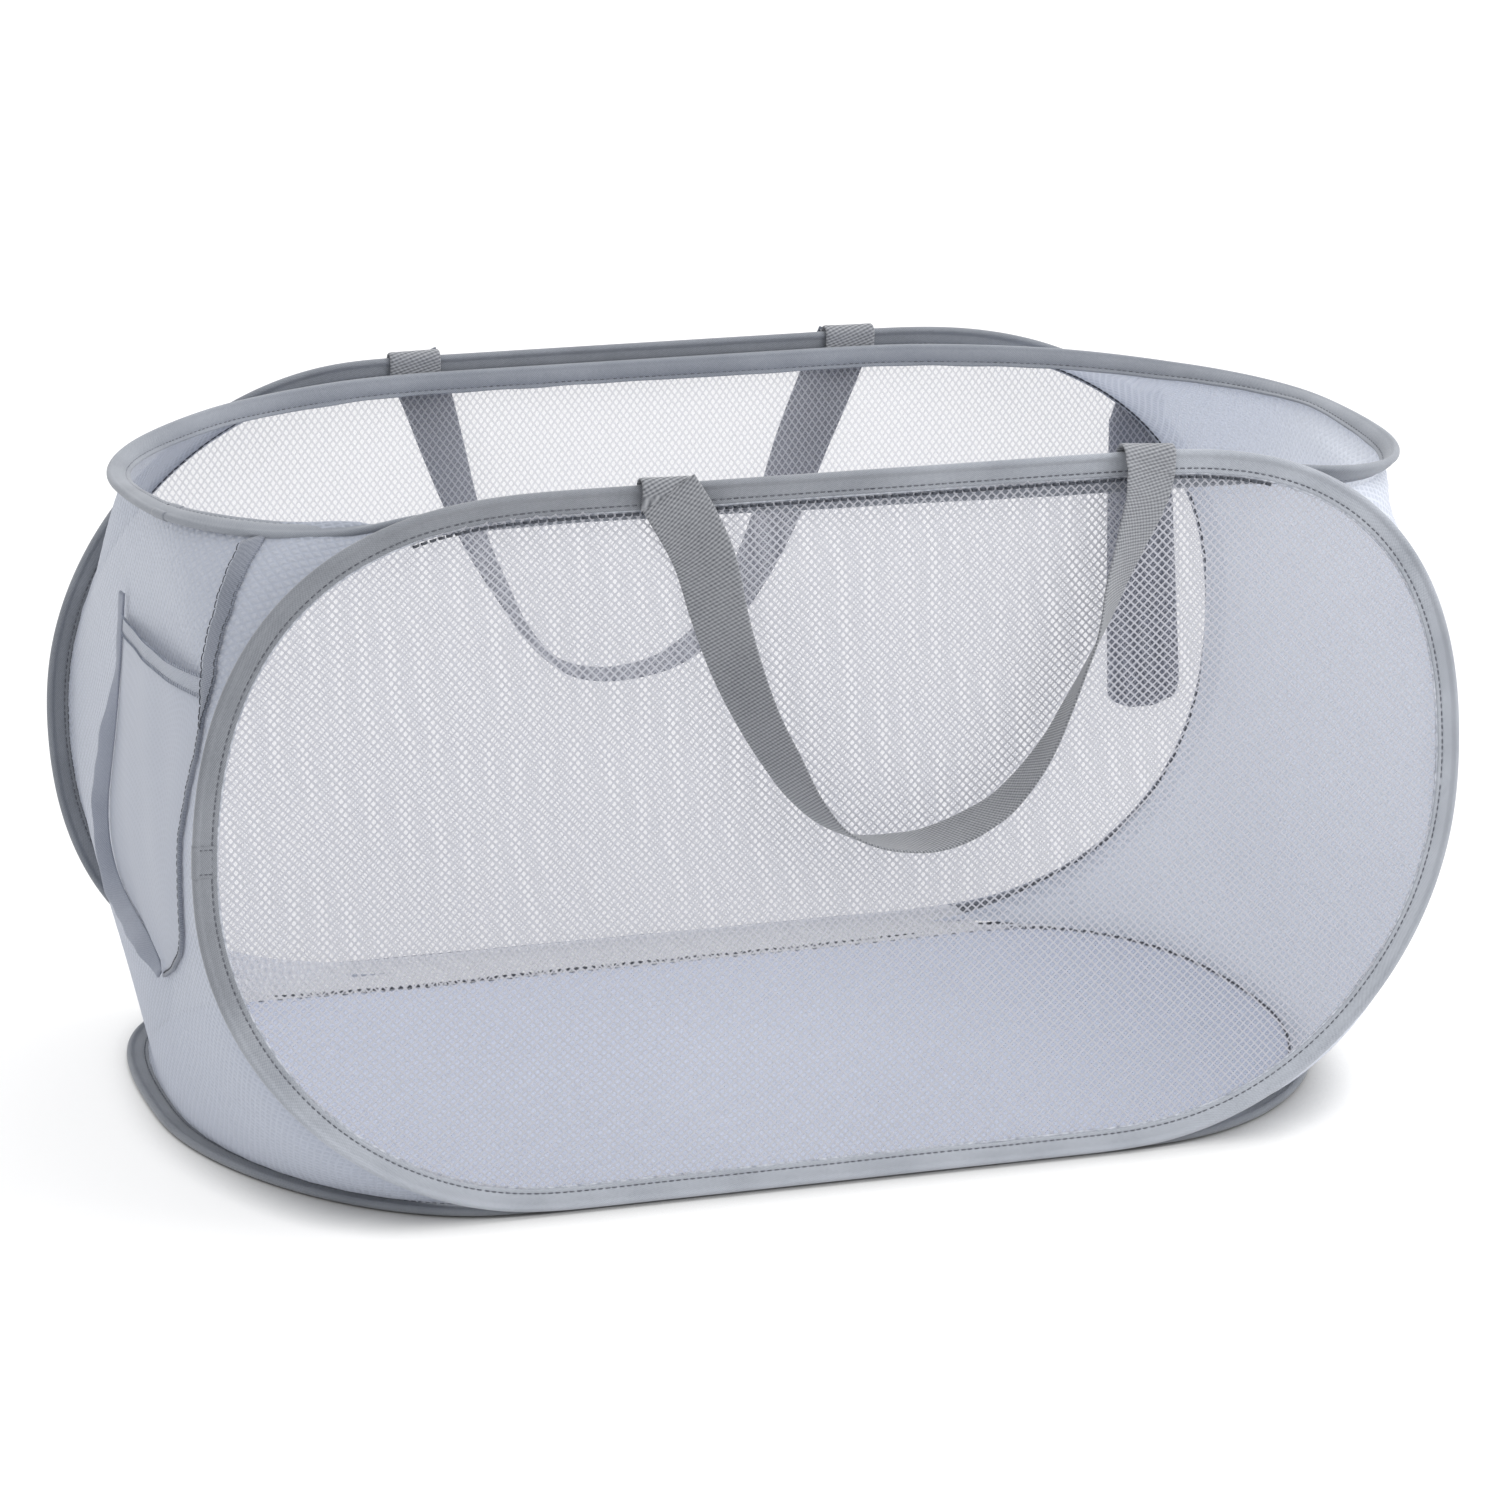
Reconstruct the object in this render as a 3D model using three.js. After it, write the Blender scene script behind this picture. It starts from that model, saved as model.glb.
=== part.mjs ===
// Pop up laundry hamper: four sprung wire hoops in twill binding carry mesh panels.
// The front and back hoops stand on the bottom hoop, and the top hoop is the open mouth.
// The tube of hoops leans over and folds flat, because each hoop pair meets along a sewn edge.
// Units are millimetres, +Z is up, +X runs along the length and the front faces -Y.
import * as THREE from "three";
import { mergeVertices } from "three/addons/utils/BufferGeometryUtils.js";

// ---------------------------------------------------------------- driving sizes
const HOOP_STEPS = 56; // stations around each hoop
const TAPE_W = 11; // width of the folded binding tape, outer edge to stitched edge
const TAPE_T = 4.4; // thickness of the tape where it wraps the wire
const WIRE_R = 0.9; // sprung steel wire
const WIRE_IN = 2.3; // wire centre, measured in from the outer edge of the tape
const FERRULE_R = 1.4; // crimp sleeve that joins the two ends of a wire
const FERRULE_BORE = 1.1;
const FERRULE_L = 16;
const WIRE_END_GAP = 2; // between the two wire ends inside the sleeve
const PANEL_T = 0.4; // mesh panel
const PANEL_IN = 5.6; // panel edge, measured in from the outer edge of the tape
const GORE_T = 0.8; // end gore of mesh
const GORE_IN = 9.6; // sewn edge of an end gore, from the outer edge of the tape
const GAP = 0.4; // running clearance between pieces that touch in the real thing

const FRONT_PIVOT = [-172.8, 10]; // y, z of the sewn edge that joins front and floor
const BACK_PIVOT = [177.2, 5.6]; // y, z of the sewn edge that joins back and floor
const TOP_PIVOT = [-177.2, 316.2]; // y, z of the sewn edge that joins front and top
const FRONT_LEAN = Math.atan2(
  FRONT_PIVOT[0] - TOP_PIVOT[0],
  TOP_PIVOT[1] - FRONT_PIVOT[1],
); // the front leans out a little towards its top

// A hoop outline has half length a and half height b about a centre, and four corners in the
// order right-far, left-far, left-near, right-near: each has a length c and a roundness n.
const FRONT = {
  cx: 0,
  cv: 172.35,
  a: 305,
  b: 167.65,
  c: [165, 167, 166, 164],
  n: [2.5, 2.5, 1.9, 1.95],
};
const BACK = {
  cx: 18,
  cv: 165.35,
  a: 314,
  b: 160.65,
  c: [193, 165, 160, 175],
  n: [2.25, 1.9, 2.4, 2.3],
};
const TOP = {
  cx: 0,
  cv: -2.2,
  a: 308,
  b: 174.6,
  c: [190, 200, 161, 150],
  n: [1.85, 1.8, 3.0, 3.0],
};
const BOTTOM = {
  cx: 8,
  cv: -2,
  a: 293,
  b: 175,
  c: [118, 108, 123, 139],
  n: [2.5, 3.2, 1.75, 1.85],
};
const TOP_Z = 314; // mid plane of the mouth hoop
const BOTTOM_Z = TAPE_T / 2;
const FRONT_Y = FRONT_PIVOT[0] - TAPE_T / 2; // mid plane of the front hoop before its lean
const BACK_Y = 175;

const WEB_W = 30; // handle webbing
const WEB_T = 1.4;
const FRONT_HANDLE_X = [-88, 139];
const BACK_HANDLE_X = [-104, 121];
const FRONT_HANDLE_DROP = 172;
const BACK_HANDLE_DROP = 172;
const LOOP_IN = 10; // how far a handle end reaches down the inner side of a hoop
const LOOP_OUT = 14; // and down the outer side

const STRAP_X = [273, 316]; // wide strap that holds the coiled hoops
const STRAP_BOTTOM = 108;
const STRAP_T = 1.6;

const POCKET_TOP = 254;
const POCKET_BULGE = 13;
const POCKET_T = 0.8;

// ---------------------------------------------------------------- colours
const tape = { color: 0x8f9398, roughness: 0.85, metalness: 0 };
const mesh = { color: 0xd9dbe6, roughness: 0.8, metalness: 0 };
const web = { color: 0x85888d, roughness: 0.85, metalness: 0 };
const dark = { color: 0x5d616b, roughness: 0.9, metalness: 0 };
const steel = { color: 0xb9bcc0, roughness: 0.35, metalness: 1 };

const root = new THREE.Group();
function add(group, name, geometry, look) {
  const m = new THREE.Mesh(geometry, new THREE.MeshStandardMaterial(look));
  m.name = name;
  group.add(m);
  return m;
}

// ---------------------------------------------------------------- outlines
const TAU = Math.PI * 2;

// Dense outline of a hoop in its own plane, smoothed a little where its corners meet.
function outline(h) {
  const pts = [];
  const Q = 90;
  for (let q = 0; q < 4; q++) {
    const sx = q === 0 || q === 3 ? 1 : -1;
    const sv = q < 2 ? 1 : -1;
    const c = h.c[q],
      e = 2 / h.n[q],
      s = h.a - c;
    const run = [];
    for (let i = 0; i <= Q; i++) {
      const t = ((i / Q) * Math.PI) / 2;
      run.push([
        h.cx + sx * (s + c * Math.pow(Math.max(0, Math.cos(t)), e)),
        h.cv + sv * h.b * Math.pow(Math.max(0, Math.sin(t)), e),
      ]);
    }
    if (q % 2) run.reverse();
    pts.push(...run);
  }
  let even = resample(pts, 900, true);
  // circular smoothing over about 24 mm
  const W = 7;
  for (let pass = 0; pass < 3; pass++) {
    even = even.map((_, i) => {
      let x = 0,
        v = 0;
      for (let k = -W; k <= W; k++) {
        const p = even[(i + k + even.length) % even.length];
        x += p[0];
        v += p[1];
      }
      return [x / (2 * W + 1), v / (2 * W + 1)];
    });
  }
  // keep the four extremes where the sizes put them
  const xs = even.map((p) => p[0]),
    vs = even.map((p) => p[1]);
  const x0 = Math.min(...xs),
    x1 = Math.max(...xs),
    v0 = Math.min(...vs),
    v1 = Math.max(...vs);
  return even.map((p) => [
    h.cx - h.a + ((p[0] - x0) / (x1 - x0)) * 2 * h.a,
    h.cv - h.b + ((p[1] - v0) / (v1 - v0)) * 2 * h.b,
  ]);
}

function resample(pts, count, closed) {
  const src = pts.slice();
  if (closed) src.push(pts[0]);
  const len = [0];
  for (let i = 1; i < src.length; i++) {
    let d = 0;
    for (let k = 0; k < src[i].length; k++) d += (src[i][k] - src[i - 1][k]) ** 2;
    len.push(len[i - 1] + Math.sqrt(d));
  }
  const total = len[len.length - 1];
  const out = [];
  const steps = closed ? count : count - 1;
  let j = 1;
  for (let i = 0; i < count; i++) {
    const want = (total * i) / steps;
    while (j < len.length - 1 && len[j] < want) j++;
    const f = (want - len[j - 1]) / Math.max(1e-9, len[j] - len[j - 1]);
    out.push(src[j].map((_, k) => src[j - 1][k] + f * (src[j][k] - src[j - 1][k])));
  }
  return out;
}

// Stations on an outline: close together on the bends, far apart on the straights.
// Each has a point and the unit normal that points into the hoop.
function stations(h, count) {
  const d = outline(h);
  const N = d.length;
  const tangent = (i) => {
    const a = d[(i - 4 + N) % N],
      b = d[(i + 4) % N];
    const l = Math.hypot(b[0] - a[0], b[1] - a[1]);
    return [(b[0] - a[0]) / l, (b[1] - a[1]) / l];
  };
  const weight = [0];
  for (let i = 1; i <= N; i++) {
    const p = d[i % N],
      q = d[i - 1];
    const t0 = tangent(i - 1),
      t1 = tangent(i % N);
    const turn = Math.abs(
      Math.atan2(t0[0] * t1[1] - t0[1] * t1[0], t0[0] * t1[0] + t0[1] * t1[1]),
    );
    weight.push(
      weight[i - 1] + Math.hypot(p[0] - q[0], p[1] - q[1]) / 260 + turn * 1.6,
    );
  }
  const out = [];
  for (let k = 0; k < count; k++) {
    const want = (weight[N] * k) / count;
    let i = weight.findIndex((w) => w >= want - 1e-12);
    i = i % N;
    const t = tangent(i);
    out.push({ p: d[i], n: [-t[1], t[0]] });
  }
  // the outline runs anticlockwise, so its left normal points in
  const area = out.reduce((s, o, i) => {
    const q = out[(i + 1) % out.length].p;
    return s + o.p[0] * q[1] - q[0] * o.p[1];
  }, 0);
  if (area < 0) for (const o of out) o.n = [-o.n[0], -o.n[1]];
  return out;
}
const inset = (s, r) => s.map((o) => [o.p[0] + o.n[0] * r, o.p[1] + o.n[1] * r]);

// ---------------------------------------------------------------- solids
function signedVolume(pos, idx) {
  let v = 0;
  const P = (i) => new THREE.Vector3(pos[3 * i], pos[3 * i + 1], pos[3 * i + 2]);
  for (let i = 0; i < idx.length; i += 3)
    v += P(idx[i]).dot(P(idx[i + 1]).cross(P(idx[i + 2]))) / 6;
  return v;
}
function solid(verts, faces) {
  const pos = verts.flat();
  const idx = faces.flat();
  if (signedVolume(pos, idx) < 0)
    for (let i = 0; i < idx.length; i += 3) [idx[i + 1], idx[i + 2]] = [idx[i + 2], idx[i + 1]];
  const g = new THREE.BufferGeometry();
  g.setAttribute("position", new THREE.Float32BufferAttribute(pos, 3));
  g.setIndex(idx);
  const flat = g.toNonIndexed();
  flat.computeVertexNormals();
  return flat;
}

// Sweep: rings[i] is a closed section of 3-D points at station i. A section that is a thin strip,
// paired point by point, is capped as a strip.
function skin(rings, closedPath, strip) {
  const verts = [],
    faces = [];
  const m = rings[0].length,
    n = rings.length;
  for (const r of rings) for (const p of r) verts.push(p);
  const last = closedPath ? n : n - 1;
  for (let i = 0; i < last; i++) {
    const a = i * m,
      b = ((i + 1) % n) * m;
    for (let k = 0; k < m; k++) {
      const l = (k + 1) % m;
      faces.push([a + k, a + l, b + l], [a + k, b + l, b + k]);
    }
  }
  if (!closedPath) {
    const cap = (base, flip) => {
      if (strip) {
        for (let k = 0; k + 1 < m / 2; k++) {
          const a = base + k,
            b = base + k + 1,
            c = base + m - 2 - k,
            d = base + m - 1 - k;
          faces.push(flip ? [a, c, b] : [a, b, c], flip ? [a, d, c] : [a, c, d]);
        }
        return;
      }
      const c = verts.length;
      const mid = [0, 0, 0];
      for (let k = 0; k < m; k++)
        for (let j = 0; j < 3; j++) mid[j] += verts[base + k][j] / m;
      verts.push(mid);
      for (let k = 0; k < m; k++) {
        const l = (k + 1) % m;
        faces.push(flip ? [c, base + l, base + k] : [c, base + k, base + l]);
      }
    };
    cap(0, true);
    cap((n - 1) * m, false);
  }
  return solid(verts, faces);
}

// A hoop lies in a plane: lift(u, v, w) takes outline coordinates u, v and a height w off the plane.
const lifts = {
  front: (u, v, w) => leaned([u, FRONT_Y + w, v]),
  back: (u, v, w) => [u, BACK_Y + w, v],
  top: (u, v, w) => [u, v, TOP_Z + w],
  bottom: (u, v, w) => [u, v, BOTTOM_Z + w],
};
// Lean about the front pivot line, top towards -Y.
function leaned(p) {
  const y = p[1] - FRONT_PIVOT[0],
    z = p[2] - FRONT_PIVOT[1];
  const c = Math.cos(FRONT_LEAN),
    s = Math.sin(FRONT_LEAN);
  return [p[0], FRONT_PIVOT[0] + y * c - z * s, FRONT_PIVOT[1] + z * c + y * s];
}

// Section of the binding: r runs inwards from the outer edge, w is off the plane.
const H = TAPE_T / 2;
const BINDING = [
  [TAPE_W, 1.2],
  [4.4, 1.9],
  [2.3, H],
  [0.6, 1.5],
  [0, 0],
  [0.6, -1.5],
  [2.3, -H],
  [4.4, -1.9],
  [TAPE_W, -1.2],
  [TAPE_W, -0.5],
  [4.2, -0.5],
  [3.2, -1.5],
  [1.4, -1.5],
  [0.6, -0.35],
  [0.6, 0.35],
  [1.4, 1.5],
  [3.2, 1.5],
  [4.2, 0.5],
  [TAPE_W, 0.5],
];
// The floor hoop rests on the flat underside of its tape.
const BINDING_FLAT = BINDING.map((p, i) =>
  i === 5 ? [0.5, -1.6] : i === 6 ? [1.4, -H] : i === 7 ? [6, -H] : i === 8 ? [TAPE_W, -H] : p,
);

function binding(st, lift, section) {
  return skin(
    st.map((o) =>
      section.map(([r, w]) => lift(o.p[0] + o.n[0] * r, o.p[1] + o.n[1] * r, w)),
    ),
    true,
  );
}

function panel(st, lift) {
  const shape = new THREE.Shape(
    inset(st, PANEL_IN).map((p) => new THREE.Vector2(p[0], p[1])),
  );
  let g = new THREE.ExtrudeGeometry(shape, { depth: PANEL_T, bevelEnabled: false, steps: 1 });
  g.deleteAttribute("normal");
  g.deleteAttribute("uv");
  g = mergeVertices(g, 1e-4);
  const a = g.getAttribute("position");
  const verts = [];
  for (let i = 0; i < a.count; i++)
    verts.push(lift(a.getX(i), a.getY(i), a.getZ(i) - PANEL_T / 2));
  const idx = Array.from(g.getIndex().array);
  const faces = [];
  for (let i = 0; i < idx.length; i += 3) faces.push(idx.slice(i, i + 3));
  return solid(verts, faces);
}

// The wire is one hoop whose ends meet in a crimp sleeve, on a straight side.
function wirePath(h, side) {
  // centre line, starting in the middle of the straight: side +1 far straight, -1 near straight
  const d = outline(h);
  const N = d.length;
  const pts = d.map((p, i) => {
    const a = d[(i - 4 + N) % N],
      b = d[(i + 4) % N];
    const l = Math.hypot(b[0] - a[0], b[1] - a[1]);
    return [p[0] - ((b[1] - a[1]) / l) * WIRE_IN, p[1] + ((b[0] - a[0]) / l) * WIRE_IN];
  });
  let best = 0,
    bd = 1e9;
  pts.forEach((p, i) => {
    const q = Math.abs(p[0] - h.cx - 60) + (Math.sign(p[1] - h.cv) === side ? 0 : 1e6);
    if (q < bd) {
      bd = q;
      best = i;
    }
  });
  return pts.slice(best).concat(pts.slice(0, best));
}
function tubeRings(path, radius, sides, lift, phase) {
  const n = path.length;
  return path.map((p, i) => {
    const a = path[Math.max(0, i - 1)],
      b = path[Math.min(n - 1, i + 1)];
    const l = Math.hypot(b[0] - a[0], b[1] - a[1]);
    const nx = -(b[1] - a[1]) / l,
      nv = (b[0] - a[0]) / l;
    const ring = [];
    for (let k = 0; k < sides; k++) {
      const t = (TAU * (k + phase)) / sides;
      const r = radius * Math.cos(t),
        w = radius * Math.sin(t);
      ring.push(lift(p[0] + nx * r, p[1] + nv * r, w));
    }
    return ring;
  });
}
function wire(h, side, lift) {
  const path = wirePath(h, side);
  const full = path.concat([path[0]]);
  const len = [0];
  for (let i = 1; i < full.length; i++)
    len.push(len[i - 1] + Math.hypot(full[i][0] - full[i - 1][0], full[i][1] - full[i - 1][1]));
  const total = len[len.length - 1];
  const at = (s) => {
    let j = len.findIndex((x) => x >= s);
    if (j < 1) j = 1;
    const f = (s - len[j - 1]) / (len[j] - len[j - 1]);
    return [
      full[j - 1][0] + f * (full[j][0] - full[j - 1][0]),
      full[j - 1][1] + f * (full[j][1] - full[j - 1][1]),
    ];
  };
  // the same weighting as the binding keeps the wire centred in it
  const g = WIRE_END_GAP / 2;
  const marks = [];
  const turnAt = (s) => {
    const a = at(Math.max(0, s - 6)),
      b = at(s),
      c = at(Math.min(total, s + 6));
    const u = [b[0] - a[0], b[1] - a[1]],
      v = [c[0] - b[0], c[1] - b[1]];
    return Math.abs(Math.atan2(u[0] * v[1] - u[1] * v[0], u[0] * v[0] + u[1] * v[1])) / 6;
  };
  let acc = 0;
  const cum = [[g, 0]];
  for (let s = g + 2; s < total - g; s += 2) {
    acc += 2 / 240 + turnAt(s) * 2 * 2.1;
    cum.push([s, acc]);
  }
  const K = 60;
  for (let k = 0; k <= K; k++) {
    const want = (acc * k) / K;
    const row = cum.find((c) => c[1] >= want - 1e-9);
    marks.push(row[0]);
  }
  marks[0] = g;
  marks[K] = total - g;
  const clean = marks.filter((m, i) => i === 0 || m > marks[i - 1] + 0.5);
  return skin(tubeRings(clean.map(at), WIRE_R, 6, lift, 0.5), false);
}
// The sleeve is a short open tube round the two wire ends.
function ferrule(h, side, lift) {
  const path = wirePath(h, side);
  const p0 = path[0];
  const q = path[3];
  const l = Math.hypot(q[0] - p0[0], q[1] - p0[1]);
  const t = [(q[0] - p0[0]) / l, (q[1] - p0[1]) / l];
  const ends = [-FERRULE_L / 2, FERRULE_L / 2].map((s) => [p0[0] + t[0] * s, p0[1] + t[1] * s]);
  const outer = tubeRings(ends, FERRULE_R, 10, lift, 0.5);
  const inner = tubeRings(ends, FERRULE_BORE, 10, lift, 0.5);
  return skin([outer[0], outer[1], inner[1], inner[0]], true);
}

// ---------------------------------------------------------------- hoops
const hoops = { front: FRONT, back: BACK, top: TOP, bottom: BOTTOM };
const st = {};
for (const k of Object.keys(hoops)) st[k] = stations(hoops[k], HOOP_STEPS);
const sides = { front: -1, back: -1, top: 1, bottom: 1 };
for (const k of ["bottom", "front", "back", "top"]) {
  const group = new THREE.Group();
  root.add(group);
  add(group, k + "_wire_hoop", wire(hoops[k], sides[k], lifts[k]), steel);
  add(group, k + "_wire_ferrule", ferrule(hoops[k], sides[k], lifts[k]), steel);
  add(
    group,
    k + "_binding_tape",
    binding(st[k], lifts[k], k === "bottom" ? BINDING_FLAT : BINDING),
    tape,
  );
}
add(root, "floor_mesh_panel", panel(st.bottom, lifts.bottom), mesh);
add(root, "front_mesh_panel", panel(st.front, lifts.front), mesh);
add(root, "back_mesh_panel", panel(st.back, lifts.back), mesh);

// ---------------------------------------------------------------- end gores
// Each end is a mesh panel with four curved edges, sewn to the four hoops. It is cut along its
// diagonals into four gores, one for each hoop, because each gore folds flat with its own hoop.
function arcOf(h, r, dir, startTest, lift, w) {
  // points on one end of a hoop, ordered by rising second coordinate
  const d = outline(h);
  const N = d.length;
  const pts = d.map((p, i) => {
    const a = d[(i - 4 + N) % N],
      b = d[(i + 4) % N];
    const l = Math.hypot(b[0] - a[0], b[1] - a[1]);
    return [p[0] - ((b[1] - a[1]) / l) * r, p[1] + ((b[0] - a[0]) / l) * r];
  });
  const half = pts.filter((p) => (dir < 0 ? p[0] < h.cx : p[0] > h.cx) && startTest(p));
  half.sort((p, q) => Math.atan2(p[1] - h.cv, dir * (p[0] - h.cx)) - Math.atan2(q[1] - h.cv, dir * (q[0] - h.cx)));
  return half.map((p) => lift(p[0], p[1], w));
}
const M = 12; // grid steps across an end
function endGrid(dir) {
  const zTop = TOP_Z - H - GAP - GORE_T / 2;
  const zBot = TAPE_T + GAP + GORE_T / 2;
  const inner = H + GAP + GORE_T / 2;
  const corner = dir < 0 ? 150 : 165;
  const near = (h) => (p) => Math.abs(p[0] - h.cx) > corner - 20;
  const front = arcOf(FRONT, GORE_IN, dir, (p) => Math.abs(p[0]) > corner - 10 && p[1] < zTop, lifts.front, inner);
  const back = arcOf(BACK, GORE_IN, dir, (p) => Math.abs(p[0] - BACK.cx) > corner - 10 && p[1] < zTop, lifts.back, -inner);
  const top = arcOf(TOP, GORE_IN, dir, near(TOP), lifts.top, zTop - TOP_Z);
  const bottom = arcOf(BOTTOM, GORE_IN, dir, near(BOTTOM), lifts.bottom, zBot - BOTTOM_Z);
  // shared corners
  const mid = (a, b) => a.map((v, i) => (v + b[i]) / 2);
  const fl = front[0],
    fh = front[front.length - 1],
    kl = back[0],
    kh = back[back.length - 1];
  const cFB = mid(fl, bottom[0]),
    cKB = mid(kl, bottom[bottom.length - 1]);
  // the upper corners lie where the front and back hoops pass the mouth
  const cFT = [fh[0], fh[1] + 1.5, zTop],
    cKT = [kh[0], kh[1] - 1.5, zTop];
  const snap = (arc, a, b, count) => {
    const body = resample(arc, 41, false);
    const first = body[0],
      last = body[40];
    const out = body.map((p, i) => {
      const s = Math.max(0, 1 - i / 8),
        e = Math.max(0, 1 - (40 - i) / 8);
      const ss = s * s * (3 - 2 * s),
        ee = e * e * (3 - 2 * e);
      return p.map((v, k) => v + ss * (a[k] - first[k]) + ee * (b[k] - last[k]));
    });
    return resample(out, count, false);
  };
  const topCut = top.filter((p) =>
    p[1] < TOP.cv ? Math.abs(p[0]) > Math.abs(cFT[0]) : Math.abs(p[0]) > Math.abs(cKT[0]),
  );
  const F = snap(front, cFB, cFT, M + 1),
    K = snap(back, cKB, cKT, M + 1),
    B = snap(bottom, cFB, cKB, M + 1),
    T = snap(topCut, cFT, cKT, M + 1);
  const grid = [];
  const ax = (p) => Math.abs(p[0]);
  const tipF = Math.max(...F.map(ax)),
    tipK = Math.max(...K.map(ax));
  // the deepest rise of an edge over its corners sets the flat middle of the end
  let EMAX = 0;
  for (let i = 0; i <= M; i++) {
    const u = i / M;
    const b = (1 - u) * ax(B[0]) + u * ax(B[M]),
      t = (1 - u) * ax(T[0]) + u * ax(T[M]),
      f = (1 - u) * ax(B[0]) + u * ax(T[0]),
      k = (1 - u) * ax(B[M]) + u * ax(T[M]);
    EMAX = Math.max(EMAX, ax(B[i]) - b, ax(T[i]) - t, ax(F[i]) - f, ax(K[i]) - k);
  }
  for (let i = 0; i <= M; i++) {
    const row = [];
    for (let j = 0; j <= M; j++) {
      const u = i / M,
        v = j / M; // u front to back, v bottom to top
      const p = [0, 0, 0];
      for (let k = 1; k < 3; k++) {
        const lu = (1 - v) * B[i][k] + v * T[i][k];
        const lv = (1 - u) * F[j][k] + u * K[j][k];
        const bl =
          (1 - u) * (1 - v) * B[0][k] + u * (1 - v) * B[M][k] + (1 - u) * v * T[0][k] + u * v * T[M][k];
        p[k] = lu + lv - bl;
      }
      const cb = (uu, vv) =>
        (1 - uu) * (1 - vv) * ax(B[0]) + uu * (1 - vv) * ax(B[M]) + (1 - uu) * vv * ax(T[0]) + uu * vv * ax(T[M]);
      const eB = ax(B[i]) - cb(u, 0),
        eT = ax(T[i]) - cb(u, 1),
        eF = ax(F[j]) - cb(0, v),
        eK = ax(K[j]) - cb(1, v);
      const eu = (1 - v) * eB + v * eT,
        ev = (1 - u) * eF + u * eK;
      let x = cb(u, v) + eu + ev - (eu * ev) / EMAX;
      if (i > 0 && i < M && j > 0 && j < M) {
        // the taut mesh stays within the line from the front hoop's end to the back hoop's
        const reach = (1 - u) * tipF + u * tipK + 1.5 - (dir > 0 ? 9 * Math.sin(Math.PI * u) ** 0.7 : 0),
          soft = 4;
        x = reach - soft * Math.log(1 + Math.exp((reach - x) / soft));
      }
      p[0] = dir * x;
      row.push(p);
    }
    grid.push(row);
  }
  return grid;
}
// normal of the grid at a node, pointing out of the hamper
function gridNormal(g, i, j, dir) {
  const a = g[Math.max(0, i - 1)][j],
    b = g[Math.min(M, i + 1)][j],
    c = g[i][Math.max(0, j - 1)],
    d = g[i][Math.min(M, j + 1)];
  const n = new THREE.Vector3(b[0] - a[0], b[1] - a[1], b[2] - a[2])
    .cross(new THREE.Vector3(d[0] - c[0], d[1] - c[1], d[2] - c[2]))
    .normalize();
  if (n.x * dir < 0) n.negate();
  return n;
}
// One gore is the triangle of the grid between one edge and the centre, shrunk by half the gap.
function gore(g, dir, which) {
  const C = M / 2;
  const rows = []; // rows of nodes from the sewn edge to the centre
  for (let k = 0; k <= C; k++) {
    const row = [];
    for (let t = k; t <= M - k; t++) {
      const [i, j] = { bottom: [t, k], top: [t, M - k], front: [k, t], back: [M - k, t] }[which];
      row.push([i, j]);
    }
    rows.push(row);
  }
  const id = new Map();
  const verts = [];
  const key = (i, j, s) => i + "," + j + "," + s;
  rows.forEach((row, k) =>
    row.forEach(([i, j], n) => {
      const p = new THREE.Vector3(...g[i][j]);
      // pull the diagonal edges and the tip in
      if (n === 0 || n === row.length - 1) {
        const step = row.length === 1 ? rows[k - 1][1] : row[n === 0 ? 1 : row.length - 2];
        const q = new THREE.Vector3(...g[step[0]][step[1]]);
        p.add(q.sub(p).normalize().multiplyScalar(0.7));
      }
      const nn = gridNormal(g, i, j, dir);
      for (const s of [-1, 1]) {
        id.set(key(i, j, s), verts.length);
        const o = p.clone().addScaledVector(nn, (s * GORE_T) / 2);
        verts.push([o.x, o.y, o.z]);
      }
    }),
  );
  const faces = [];
  const V = (c, s) => id.get(key(c[0], c[1], s));
  const edges = new Map();
  const tri = (a, b, c) => {
    faces.push([V(a, 1), V(b, 1), V(c, 1)]);
    faces.push([V(a, -1), V(c, -1), V(b, -1)]);
    for (const [p, q] of [
      [a, b],
      [b, c],
      [c, a],
    ]) {
      const k = key(...p, 0) + "|" + key(...q, 0),
        r = key(...q, 0) + "|" + key(...p, 0);
      if (edges.has(r)) edges.delete(r);
      else edges.set(k, [p, q]);
    }
  };
  for (let k = 0; k + 1 < rows.length; k++) {
    const lo = rows[k],
      hi = rows[k + 1];
    // hi[n] sits over lo[n + 1]
    for (let n = 0; n < hi.length; n++) {
      tri(lo[n], lo[n + 1], hi[n]);
      if (n + 1 < hi.length) tri(hi[n], lo[n + 1], hi[n + 1]);
      else tri(lo[n + 1], lo[n + 2], hi[n]);
    }
  }
  for (const [p, q] of edges.values()) {
    faces.push([V(p, 1), V(p, -1), V(q, -1)]);
    faces.push([V(p, 1), V(q, -1), V(q, 1)]);
  }
  return solid(verts, faces);
}
const grids = { left: endGrid(-1), right: endGrid(1) };
for (const end of ["left", "right"])
  for (const which of ["bottom", "front", "back", "top"])
    add(root, end + "_end_gore_" + which, gore(grids[end], end === "left" ? -1 : 1, which), mesh);

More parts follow.
